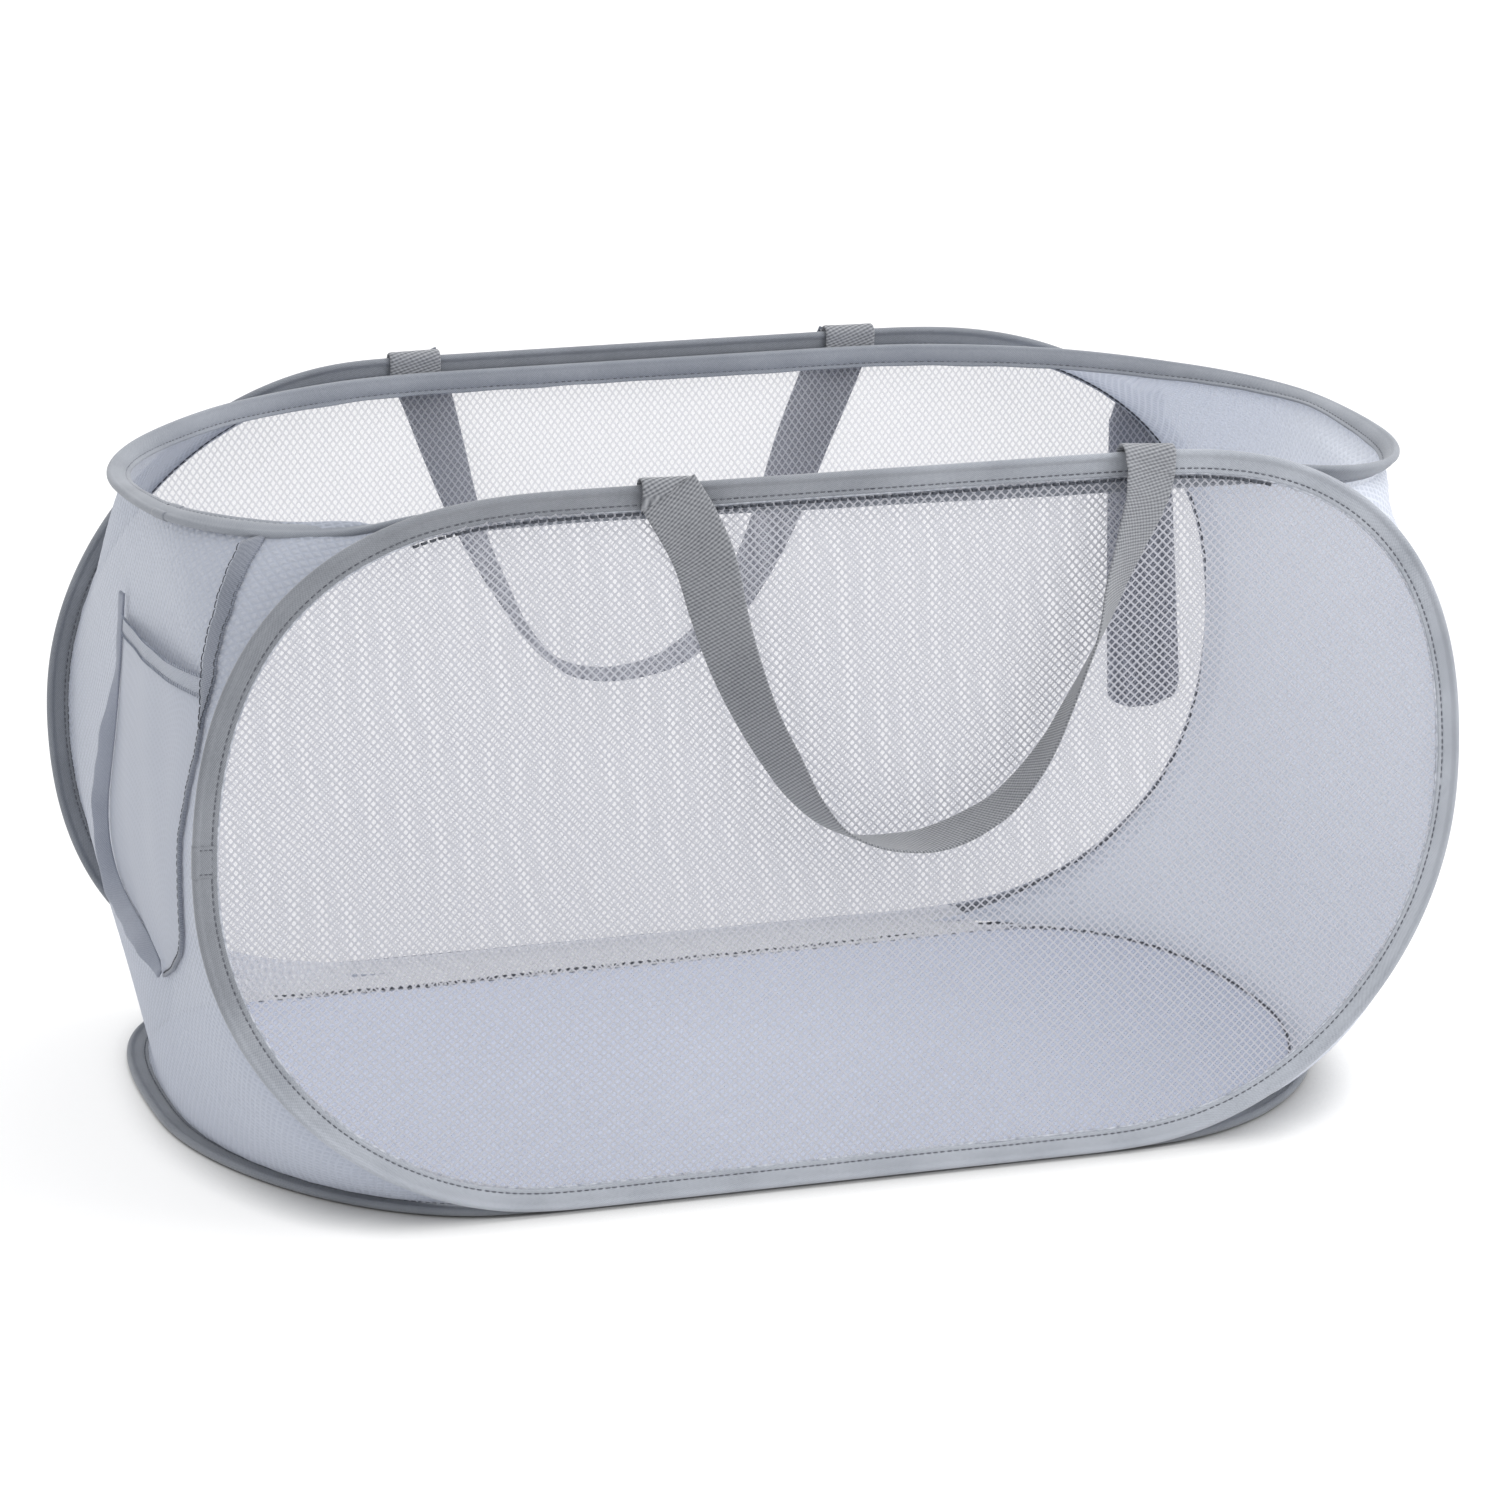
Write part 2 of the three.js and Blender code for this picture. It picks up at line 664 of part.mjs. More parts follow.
// ---------------------------------------------------------------- handles
// A handle end is webbing turned over the top of a hoop and sewn through it.
function loop(x, lift, h, vOut, out) {
  // section in the plane across the hoop: w off the plane, v up; out is the sign of the outer side
  const a = H + GAP,
    b = a + WEB_T;
  return skin(
    [-1, 0, 1].map((e) => {
      const xx = x + (e * WEB_W) / 2;
      const vTop = crest(h, xx);
      const sec = [
        [-a, vTop - LOOP_IN],
        [-a, vTop - 1.2],
        [-a + 1.4, vTop + GAP],
        [a - 1.4, vTop + GAP],
        [a, vTop - 1.2],
        [a, vOut],
        [b, vOut],
        [b, vTop - 0.6],
        [b - 1.8, vTop + GAP + WEB_T],
        [-b + 1.8, vTop + GAP + WEB_T],
        [-b, vTop - 0.6],
        [-b, vTop - LOOP_IN],
      ];
      return sec.map(([w, v]) => lift(xx, v, out * w));
    }),
    false,
    true,
  );
}
// Top of a hoop at x, in its plane.
function crest(h, x) {
  let best = -1e9;
  for (const p of outline(h)) if (Math.abs(p[0] - x) < 4 && p[1] > best) best = p[1];
  return best;
}
// The hanging part is one U of webbing: two legs and a bight, standing a little off the panel.
function hangingHandle(xs, vTop, drop, lift, out, skew) {
  const yOff = H + GAP; // inner face of the webbing, off the hoop plane
  const pts = [];
  const n = 28;
  const xm = (xs[0] + xs[1]) / 2 + skew;
  for (let i = 0; i <= n; i++) {
    const t = -1 + (2 * i) / n; // -1 left end, +1 right end
    const s = Math.abs(t);
    // legs start straight down, the bight is round
    const x = (t < 0 ? xs[0] : xs[1]) * Math.pow(s, 1.35) + xm * (1 - Math.pow(s, 1.35));
    const v = vTop - drop * Math.pow(1 - Math.pow(s, 1.9), 0.8);
    pts.push([x, v]);
  }
  const rings = [];
  for (let i = 0; i <= n; i++) {
    const t = -1 + (2 * i) / n;
    const s = Math.abs(t);
    const a = pts[Math.max(0, i - 1)],
      b = pts[Math.min(n, i + 1)];
    const l = Math.hypot(b[0] - a[0], b[1] - a[1]);
    let d = [(b[0] - a[0]) / l, (b[1] - a[1]) / l];
    if (i === 0) d = [0, -1];
    if (i === n) d = [0, 1];
    // across the strap in the plane, and its twist out of it
    const flat = Math.min(1, s * 1.15);
    const tw = ((1 - flat) * Math.PI) / 2.4;
    const across = [-d[1], d[0]];
    const wHalf = WEB_W / 2;
    const c = Math.cos(tw),
      q = Math.sin(tw);
    // the strap stands further off the panel where it turns on edge
    const off = yOff + WEB_T / 2 + 0.2 + wHalf * q + 1.5 * (1 - s);
    const e1 = [across[0] * c, across[1] * c, -q]; // along the width
    const e2 = [across[0] * q, across[1] * q, c]; // along the thickness
    const ring = [];
    for (const [wv, tv] of [
      [-wHalf, -WEB_T / 2],
      [wHalf, -WEB_T / 2],
      [wHalf, WEB_T / 2],
      [-wHalf, WEB_T / 2],
    ]) {
      const x = pts[i][0] + e1[0] * wv + e2[0] * tv;
      const v = pts[i][1] + e1[1] * wv + e2[1] * tv;
      const w = off + e1[2] * wv + e2[2] * tv;
      ring.push(lift(x, v, out * w));
    }
    rings.push(ring);
  }
  return skin(rings, false);
}
const frontCrest = Math.min(...FRONT_HANDLE_X.map((x) => crest(FRONT, x)));
const backCrest = Math.min(...BACK_HANDLE_X.map((x) => crest(BACK, x)));
["left", "right"].forEach((name, i) => {
  add(
    root,
    "front_handle_loop_" + name,
    loop(FRONT_HANDLE_X[i], lifts.front, FRONT, frontCrest - LOOP_OUT, -1),
    web,
  );
  add(
    root,
    "back_handle_loop_" + name,
    loop(BACK_HANDLE_X[i], lifts.back, BACK, backCrest - LOOP_OUT, 1),
    web,
  );
});
add(
  root,
  "front_handle",
  hangingHandle(FRONT_HANDLE_X, frontCrest - LOOP_OUT - GAP, FRONT_HANDLE_DROP, lifts.front, -1, 0),
  web,
);
add(
  root,
  "back_handle",
  hangingHandle(BACK_HANDLE_X, backCrest - LOOP_OUT - GAP, BACK_HANDLE_DROP, lifts.back, 1, -8),
  web,
);

// ---------------------------------------------------------------- closure strap
// A wide strap hangs from a tab sewn to the outer face of the back tape, at its upper right bend.
function backEdge(x, r) {
  // height of the back outline inset by r, on the upper side at x
  let best = null;
  for (const p of inset(stations(BACK, 400), r))
    if (p[1] > BACK.cv && (!best || Math.abs(p[0] - x) < Math.abs(best[0] - x))) best = p;
  return best[1];
}
function plate(poly, y0, y1) {
  const n = poly.length;
  const verts = [...poly.map(([x, z]) => [x, y0, z]), ...poly.map(([x, z]) => [x, y1, z])];
  const faces = [];
  for (let i = 1; i + 1 < n; i++) {
    faces.push([0, i, i + 1]);
    faces.push([n, n + i + 1, n + i]);
  }
  for (let i = 0; i < n; i++) {
    const j = (i + 1) % n;
    faces.push([i, n + i, n + j], [i, n + j, j]);
  }
  return solid(verts, faces);
}
const strapY = BACK_Y + H + GAP;
const seamL = backEdge(STRAP_X[0], TAPE_W - 1),
  seamR = backEdge(STRAP_X[1], TAPE_W - 1);
const tabL = backEdge(STRAP_X[0], 2),
  tabR = backEdge(STRAP_X[1], 2);
add(
  root,
  "closure_strap_tab",
  plate(
    [
      [STRAP_X[0], seamL + GAP],
      [STRAP_X[1], seamR + GAP],
      [STRAP_X[1], tabR],
      [STRAP_X[0], tabL],
    ],
    strapY,
    strapY + STRAP_T,
  ),
  dark,
);
const R = 7;
const strapPoly = [
  [STRAP_X[0], seamL],
  [STRAP_X[0], STRAP_BOTTOM + R],
  [STRAP_X[0] + 2, STRAP_BOTTOM + 2],
  [STRAP_X[0] + R, STRAP_BOTTOM],
  [STRAP_X[1] - R, STRAP_BOTTOM],
  [STRAP_X[1] - 2, STRAP_BOTTOM + 2],
  [STRAP_X[1], STRAP_BOTTOM + R],
  [STRAP_X[1], seamR],
];
add(root, "closure_strap", plate(strapPoly, strapY, strapY + STRAP_T), dark);
// the patch of hook tape near its free end faces away from the hamper
add(
  root,
  "closure_hook_patch",
  plate(
    [
      [STRAP_X[0] + 6, STRAP_BOTTOM + 10],
      [STRAP_X[1] - 6, STRAP_BOTTOM + 10],
      [STRAP_X[1] - 6, STRAP_BOTTOM + 44],
      [STRAP_X[0] + 6, STRAP_BOTTOM + 44],
    ],
    strapY + STRAP_T + 0.3,
    strapY + STRAP_T + 1.5,
  ),
  dark,
);

// ---------------------------------------------------------------- pocket on the left end
// x of the left end surface at y, z, read off its grid.
function endX(y, z) {
  const g = grids.left;
  let best = null,
    miss = 1e9;
  for (let i = 0; i < M; i++)
    for (let j = 0; j < M; j++)
      for (const [a, b, c] of [
        [g[i][j], g[i + 1][j], g[i + 1][j + 1]],
        [g[i][j], g[i + 1][j + 1], g[i][j + 1]],
      ]) {
        const d = (b[1] - a[1]) * (c[2] - a[2]) - (c[1] - a[1]) * (b[2] - a[2]);
        const s = ((y - a[1]) * (c[2] - a[2]) - (c[1] - a[1]) * (z - a[2])) / d;
        const t = ((b[1] - a[1]) * (z - a[2]) - (y - a[1]) * (b[2] - a[2])) / d;
        const out = Math.max(0, -s, -t, s + t - 1);
        if (out < miss) {
          miss = out;
          best = a[0] + s * (b[0] - a[0]) + t * (c[0] - a[0]);
        }
      }
  return best;
}
// front and back edges of the pocket against height
const pocketRows = [
  [88, -56, 6],
  [96, -66, 38],
  [108, -88, 60],
  [124, -103, 66],
  [146, -105, 61],
  [170, -109, 45],
  [195, -123, 28],
  [220, -142, 17],
  [POCKET_TOP, -157, 6],
];
function pocketPoint(z, s, lift) {
  // s runs from the front edge 0 to the back edge 1
  let k = 0;
  while (k < pocketRows.length - 2 && pocketRows[k + 1][0] < z) k++;
  const [z0, f0, b0] = pocketRows[k],
    [z1, f1, b1] = pocketRows[k + 1];
  const t = (z - z0) / (z1 - z0);
  const yf = f0 + t * (f1 - f0),
    yb = b0 + t * (b1 - b0);
  const y = yf + s * (yb - yf);
  const h = Math.min(1, Math.max(0, (z - 84) / 60));
  const bulge = POCKET_BULGE * Math.pow(Math.max(0, Math.sin(Math.PI * Math.min(1, Math.max(0, s)))), 0.7) * Math.sin((h * Math.PI) / 2);
  return [endX(y, z) - 2.2 - bulge - lift, y, z];
}
function sheetSolid(rows, thick) {
  // rows[i][j] are points on the inner face; the outer face is thick further along -X
  const verts = [],
    faces = [];
  const n = rows.length,
    m = rows[0].length;
  for (const r of rows) for (const p of r) verts.push(p);
  for (const r of rows) for (const p of r) verts.push([p[0] - thick, p[1], p[2]]);
  const o = n * m;
  for (let i = 0; i + 1 < n; i++)
    for (let j = 0; j + 1 < m; j++) {
      const a = i * m + j,
        b = a + 1,
        c = a + m,
        d = c + 1;
      faces.push([a, b, d], [a, d, c], [o + a, o + d, o + b], [o + a, o + c, o + d]);
    }
  const rim = [];
  for (let j = 0; j + 1 < m; j++) rim.push([j, j + 1]);
  for (let i = 0; i + 1 < n; i++) rim.push([i * m + m - 1, (i + 1) * m + m - 1]);
  for (let j = m - 1; j > 0; j--) rim.push([(n - 1) * m + j, (n - 1) * m + j - 1]);
  for (let i = n - 1; i > 0; i--) rim.push([i * m, (i - 1) * m]);
  for (const [a, b] of rim) faces.push([a, o + a, o + b], [a, o + b, b]);
  return solid(verts, faces);
}
const TRIM = 0.07; // share of the pocket's width taken by each edge binding
const zs = [92, 100, 110, 124, 146, 170, 195, 218, POCKET_TOP - 10.4];
const cols = 10;
const field = (list, s0, s1, count) =>
  list.map((z) => {
    const row = [];
    for (let c = 0; c <= count; c++) row.push(pocketPoint(z, s0 + ((s1 - s0) * c) / count, 0));
    return row;
  });
add(root, "pocket_mesh_panel", sheetSolid(field(zs, TRIM + 0.012, 1 - TRIM - 0.012, cols), POCKET_T), mesh);
add(
  root,
  "pocket_hem",
  sheetSolid(field([POCKET_TOP - 10, POCKET_TOP - 5, POCKET_TOP], TRIM + 0.012, 1 - TRIM - 0.012, cols), POCKET_T + 0.6),
  mesh,
);
const edgeZ = [89, 94, 100, 110, 124, 146, 170, 195, 218, POCKET_TOP + 6];
add(root, "pocket_back_binding", sheetSolid(field(edgeZ, 1 - TRIM, 1.0, 1), 1.6), tape);
// the front edge is a rolled seam that runs on up to the corner of the mouth
const seamRows = field([89, 94, 100, 110, 124, 146, 170, 195, 218, POCKET_TOP], 0, TRIM, 1);
for (const [z, y] of [
  [266, -157],
  [278, -154],
  [290, -149],
  [301, -143],
]) {
  seamRows.push([
    [endX(y, z) - 4, y, z],
    [endX(y + 7, z) - 4, y + 7, z],
  ]);
}
add(root, "pocket_front_seam", sheetSolid(seamRows, 1.6), dark);

// ---------------------------------------------------------------- origin at the bottom centre
const box = new THREE.Box3();
root.updateMatrixWorld(true);
box.setFromObject(root);
root.children.forEach((c) => {
  c.position.x -= (box.min.x + box.max.x) / 2;
  c.position.y -= (box.min.y + box.max.y) / 2;
  c.position.z -= box.min.z;
});

// Where the pieces turn and rest, before the shift to the origin.
const hingeOut = H + GAP + WEB_T + 0.3;
const restRun = inset(st.bottom, 6).filter((p) => p[1] < 0);
restRun.sort((p, q) => Math.abs(p[0] - 10) - Math.abs(q[0] - 10));
export const bounds = box;
export const facts = {
  frontPivot: [0, ...FRONT_PIVOT],
  backPivot: [0, ...BACK_PIVOT],
  topPivot: [0, ...TOP_PIVOT],
  frontHandleAxis: lifts.front(25, frontCrest - LOOP_OUT - GAP + 0.2, -hingeOut),
  backHandleAxis: lifts.back(8, backCrest - LOOP_OUT - GAP + 0.2, hingeOut),
  strapAxis: [295, strapY + STRAP_T + 0.2, seamL + GAP / 2],
  restPoint: [...restRun[0], 0],
  floorZ: TAPE_T,
  pocketSeed: [
    [endX(-50, 200) - 9, -65, 190],
    [endX(-50, 200) - 4.5, -35, 256],
  ],
  pocketLimit: [
    [-330, -130, 100],
    [-280, 40, 260],
  ],
};
export default root;
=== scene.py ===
import math

import bmesh
import bpy
import numpy as np
from mathutils import Matrix, Vector
from mathutils.bvhtree import BVHTree


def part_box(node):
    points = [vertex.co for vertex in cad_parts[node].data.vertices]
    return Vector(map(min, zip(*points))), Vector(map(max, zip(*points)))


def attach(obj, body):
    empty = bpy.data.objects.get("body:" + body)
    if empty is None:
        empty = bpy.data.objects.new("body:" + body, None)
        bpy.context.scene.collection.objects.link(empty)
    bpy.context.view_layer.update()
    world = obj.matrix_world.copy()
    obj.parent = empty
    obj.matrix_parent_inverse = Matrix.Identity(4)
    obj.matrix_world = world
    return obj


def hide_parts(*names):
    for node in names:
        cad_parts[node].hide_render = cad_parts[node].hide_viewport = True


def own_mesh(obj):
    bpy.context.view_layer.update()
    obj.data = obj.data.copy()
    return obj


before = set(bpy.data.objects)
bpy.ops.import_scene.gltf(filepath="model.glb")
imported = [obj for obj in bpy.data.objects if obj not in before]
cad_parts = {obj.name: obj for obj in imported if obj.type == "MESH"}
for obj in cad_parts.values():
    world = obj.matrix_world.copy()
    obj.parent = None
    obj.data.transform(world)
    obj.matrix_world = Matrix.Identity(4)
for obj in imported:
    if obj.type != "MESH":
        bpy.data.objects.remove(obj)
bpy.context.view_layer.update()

# All lengths below are millimetres in the hoops' own coordinates: the front hoop's middle is at
# x 0, the floor at z 0. place() turns them into metres in the row frame.
_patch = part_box("closure_hook_patch")[0]
SHIFT = np.array([_patch[0] - 0.279, _patch[1] - 0.1795, 0.0])


def place(p):
    return np.asarray(p, float) * 0.001 + SHIFT


rng = np.random.default_rng(7)

# ------------------------------------------------------------------ sizes
TAPE_W = 11.0
WIRE_IN = 2.0
GORE_IN = 9.6
H = 2.2
GAP = 0.4
TOP_Z = 314.0
BOTTOM_Z = 2.2
FRONT_PIVOT = (-172.8, 10.0)
TOP_PIVOT = (-177.2, 316.2)
BACK_PIVOT = (177.2, 5.6)
LEAN = math.atan2(FRONT_PIVOT[0] - TOP_PIVOT[0], TOP_PIVOT[1] - FRONT_PIVOT[1])
FRONT_Y = FRONT_PIVOT[0] - 2.2
BACK_Y = 175.0

FRONT = dict(cx=0, cv=170.6, a=305, b=169.4, c=(165, 167, 166, 164), n=(2.5, 2.5, 1.9, 1.95))
BACK = dict(cx=19.5, cv=163.8, a=316.5, b=162.6, c=(193, 165, 160, 175), n=(2.25, 1.9, 2.4, 2.3))
TOP = dict(cx=6.4, cv=-2.2, a=306.6, b=174.6, c=(190, 200, 161, 150), n=(1.85, 1.8, 3.0, 3.0))
BOTTOM = dict(cx=7.5, cv=0, a=291, b=172.4, c=(118, 108, 123, 139), n=(2.5, 3.2, 1.75, 1.85))


# ------------------------------------------------------------------ outlines
def resample(pts, count, closed):
    src = np.vstack([pts, pts[:1]]) if closed else np.asarray(pts, float)
    d = np.r_[0, np.cumsum(np.linalg.norm(np.diff(src, axis=0), axis=1))]
    want = np.linspace(0, d[-1], count + 1)[:-1] if closed else np.linspace(0, d[-1], count)
    return np.stack([np.interp(want, d, src[:, k]) for k in range(src.shape[1])], axis=1)


def outline(h):
    q_steps = 90
    parts = []
    for q in range(4):
        sx = 1 if q in (0, 3) else -1
        sv = 1 if q < 2 else -1
        c, e = h["c"][q], 2 / h["n"][q]
        t = np.linspace(0, math.pi / 2, q_steps + 1)
        run = np.stack(
            [
                h["cx"] + sx * (h["a"] - c + c * np.clip(np.cos(t), 0, 1) ** e),
                h["cv"] + sv * h["b"] * np.clip(np.sin(t), 0, 1) ** e,
            ],
            axis=1,
        )
        parts.append(run[::-1] if q % 2 else run)
    even = resample(np.vstack(parts), 900, True)
    for _ in range(3):
        even = np.mean([np.roll(even, -k, axis=0) for k in range(-7, 8)], axis=0)
    lo, hi = even.min(0), even.max(0)
    half = np.array([h["a"], h["b"]])
    mid = np.array([h["cx"], h["cv"]])
    return mid - half + (even - lo) / (hi - lo) * 2 * half


def normals_in(p):
    t = np.roll(p, -3, axis=0) - np.roll(p, 3, axis=0)
    t /= np.linalg.norm(t, axis=1)[:, None]
    return np.stack([-t[:, 1], t[:, 0]], axis=1)


def leaned(p):
    p = np.asarray(p, float)
    y, z = p[..., 1] - FRONT_PIVOT[0], p[..., 2] - FRONT_PIVOT[1]
    c, s = math.cos(LEAN), math.sin(LEAN)
    return np.stack([p[..., 0], FRONT_PIVOT[0] + y * c - z * s, FRONT_PIVOT[1] + z * c + y * s], axis=-1)


def lift(kind, u, v, w):
    u, v, w = np.broadcast_arrays(np.asarray(u, float), np.asarray(v, float), np.asarray(w, float))
    if kind == "front":
        return leaned(np.stack([u, FRONT_Y + w, v], axis=-1))
    if kind == "back":
        return np.stack([u, BACK_Y + w, v], axis=-1)
    if kind == "top":
        return np.stack([u, v, TOP_Z + w], axis=-1)
    return np.stack([u, v, BOTTOM_Z + w], axis=-1)


HOOPS = {"front": FRONT, "back": BACK, "top": TOP, "bottom": BOTTOM}
OUT = {k: outline(h) for k, h in HOOPS.items()}


def noise1(count, waves, seed, amp=1.0):
    """A smooth closed wave of a few random harmonics."""
    r = np.random.default_rng(seed)
    t = np.linspace(0, 2 * math.pi, count, endpoint=False)
    out = np.zeros(count)
    for k in range(waves[0], waves[1]):
        out += r.normal() * np.cos(k * t + r.uniform(0, 6.28)) / math.sqrt(k)
    return amp * out / max(1e-9, np.abs(out).max())


# ------------------------------------------------------------------ mesh helpers
def new_object(name, verts, faces, uvs=None, smooth=True, material=None, body=None):
    me = bpy.data.meshes.new(name)
    me.from_pydata([tuple(v) for v in place(verts)], [], faces)
    if uvs is not None:
        layer = me.uv_layers.new(name="weave")
        flat = np.asarray(uvs, np.float32)
        loops = np.zeros(len(me.loops), np.int64)
        me.loops.foreach_get("vertex_index", loops)
        layer.data.foreach_set("uv", flat[loops].ravel())
    me.validate()
    if smooth:
        me.polygons.foreach_set("use_smooth", [True] * len(me.polygons))
    me.update()
    ob = bpy.data.objects.new(name, me)
    bpy.context.scene.collection.objects.link(ob)
    if material is not None:
        me.materials.append(material)
    if body:
        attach(ob, body)
    return ob


def corner_uv(ob, table):
    """UVs per face corner, for a closed sweep whose texture must not run back at its join."""
    layer = ob.data.uv_layers.get("weave") or ob.data.uv_layers.new(name="weave")
    layer.data.foreach_set("uv", np.asarray(table, np.float32).ravel())


def face_out(ob):
    bm = bmesh.new()
    bm.from_mesh(ob.data)
    bmesh.ops.recalc_face_normals(bm, faces=bm.faces)
    bm.to_mesh(ob.data)
    bm.free()


def tube_grid(rings, closed_path, closed_section=True, caps=True):
    """rings: n x m x 3. Returns verts, faces and per-corner (i, j) indices that may pass the end."""
    n, m = rings.shape[:2]
    verts = rings.reshape(-1, 3)
    faces, corners = [], []
    for i in range(n if closed_path else n - 1):
        for j in range(m if closed_section else m - 1):
            i2, j2 = (i + 1) % n, (j + 1) % m
            faces.append((i * m + j, i * m + j2, i2 * m + j2, i2 * m + j))
            corners.append(((i, j), (i, j + 1), (i + 1, j + 1), (i + 1, j)))
    if not closed_path and caps and closed_section:
        faces.append(tuple(range(m - 1, -1, -1)))
        corners.append(tuple((0, j) for j in range(m - 1, -1, -1)))
        faces.append(tuple((n - 1) * m + j for j in range(m)))
        corners.append(tuple((n - 1, j) for j in range(m)))
    return verts, faces, corners


def sweep_object(name, rings, u, v, closed_path, material, body, smooth=True):
    """A swept solid with UVs in metres: u runs along it, v round its section."""
    verts, faces, corners = tube_grid(rings, closed_path)
    ob = new_object(name, verts, faces, None, smooth, material)
    table = []
    for poly in ob.data.polygons:
        for a in corners[poly.index]:
            table.append((u[a[0]], v[a[1]]))
    corner_uv(ob, table)
    face_out(ob)
    if body:
        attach(ob, body)
    return ob


# ------------------------------------------------------------------ materials
def principled(name, base, rough=0.8):
    mat = bpy.data.materials.new(name)
    mat.use_nodes = True
    nt = mat.node_tree
    bsdf = nt.nodes["Principled BSDF"]
    bsdf.inputs["Base Color"].default_value = (*base, 1)
    bsdf.inputs["Roughness"].default_value = rough
    bsdf.inputs["Specular IOR Level"].default_value = 0.25
    return mat, nt, bsdf


def math_node(nt, op, a, b=None, clamp=False):
    n = nt.nodes.new("ShaderNodeMath")
    n.operation = op
    n.use_clamp = clamp
    for k, x in enumerate((a, b)):
        if x is None:
            continue
        if isinstance(x, (int, float)):
            n.inputs[k].default_value = x
        else:
            nt.links.new(x, n.inputs[k])
    return n.outputs[0]


def uv_axes(nt):
    tc = nt.nodes.new("ShaderNodeUVMap")
    tc.uv_map = "weave"
    sep = nt.nodes.new("ShaderNodeSeparateXYZ")
    nt.links.new(tc.outputs[0], sep.inputs[0])
    return tc.outputs[0], sep.outputs[0], sep.outputs[1]


def cosine(nt, a):
    return math_node(nt, "COSINE", math_node(nt, "MULTIPLY", a, 2 * math.pi))


def ramp(nt, fac, stops):
    n = nt.nodes.new("ShaderNodeValToRGB")
    n.color_ramp.elements[0].position = stops[0][0]
    n.color_ramp.elements[0].color = (*stops[0][1], 1)
    n.color_ramp.elements[1].position = stops[-1][0]
    n.color_ramp.elements[1].color = (*stops[-1][1], 1)
    for pos, col in stops[1:-1]:
        e = n.color_ramp.elements.new(pos)
        e.color = (*col, 1)
    nt.links.new(fac, n.inputs[0])
    return n.outputs[0]


def cloth_noise(nt, scale, detail=2.0):
    tc = nt.nodes.new("ShaderNodeTexCoord")
    n = nt.nodes.new("ShaderNodeTexNoise")
    n.inputs["Scale"].default_value = scale
    n.inputs["Detail"].default_value = detail
    nt.links.new(tc.outputs["Object"], n.inputs["Vector"])
    return n.outputs["Fac"]


def woven(name, dark, light, pitch_u, pitch_v, slant, bump=0.35, rough=0.8, blotch=0.12, painted_light=None):
    """Woven tape: diagonal ribs of the given pitch, with threads across them, lit by bump. The last
    argument is a paler pair of colours: painted light towards the foot and the right end of the
    piece, where the floor's bounce and the key light fall."""
    mat, nt, bsdf = principled(name, light, rough)
    _, u, v = uv_axes(nt)
    ribs = cosine(nt, math_node(nt, "ADD", math_node(nt, "MULTIPLY", u, 1 / pitch_u),
                                math_node(nt, "MULTIPLY", v, slant / pitch_v)))
    cross = cosine(nt, math_node(nt, "SUBTRACT", math_node(nt, "MULTIPLY", u, 0.5 / pitch_u),
                                 math_node(nt, "MULTIPLY", v, 1 / pitch_v)))
    weave = math_node(nt, "ADD", math_node(nt, "MULTIPLY", ribs, 0.32), math_node(nt, "MULTIPLY", cross, 0.14))
    weave = math_node(nt, "ADD", weave, 0.5)
    fibre = cloth_noise(nt, 900.0, 3.0)
    large = cloth_noise(nt, 28.0, 2.0)
    tone = math_node(nt, "ADD", math_node(nt, "MULTIPLY", weave, 0.55), math_node(nt, "MULTIPLY", fibre, 0.35))
    tone = math_node(nt, "ADD", tone, math_node(nt, "MULTIPLY", math_node(nt, "SUBTRACT", large, 0.5), blotch * 4))
    colour = ramp(nt, tone, [(0.12, dark), (0.85, light)])
    # painted light: the tape's colours turn paler towards +x and towards its foot, where more light falls
    if painted_light is not None:
        tc = nt.nodes.new("ShaderNodeTexCoord")
        axes = nt.nodes.new("ShaderNodeSeparateXYZ")
        nt.links.new(tc.outputs["Object"], axes.inputs[0])
        painted_light_share = []
        for k, lo, hi, top in ((0, -0.10, 0.16, 0.8), (2, 0.15, 0.03, 1.0)):
            m = nt.nodes.new("ShaderNodeMapRange")
            m.interpolation_type = "SMOOTHSTEP"
            nt.links.new(axes.outputs[k], m.inputs["Value"])
            m.inputs["From Min"].default_value = lo
            m.inputs["From Max"].default_value = hi
            m.inputs["To Min"].default_value = 0.0
            m.inputs["To Max"].default_value = top
            painted_light_share.append(m.outputs[0])
        mix = nt.nodes.new("ShaderNodeMix")
        mix.data_type = "RGBA"
        nt.links.new(math_node(nt, "MAXIMUM", painted_light_share[0], painted_light_share[1]), mix.inputs[0])
        nt.links.new(colour, mix.inputs[6])
        nt.links.new(ramp(nt, tone, [(0.12, painted_light[0]), (0.85, painted_light[1])]), mix.inputs[7])
        colour = mix.outputs[2]
    nt.links.new(colour, bsdf.inputs["Base Color"])
    b = nt.nodes.new("ShaderNodeBump")
    b.inputs["Strength"].default_value = bump
    b.inputs["Distance"].default_value = 0.0003
    nt.links.new(math_node(nt, "ADD", weave, math_node(nt, "MULTIPLY", fibre, 0.4)), b.inputs["Height"])
    nt.links.new(b.outputs[0], bsdf.inputs["Normal"])
    bsdf.inputs["Sheen Weight"].default_value = 0.25
    bsdf.inputs["Sheen Roughness"].default_value = 0.5
    return mat


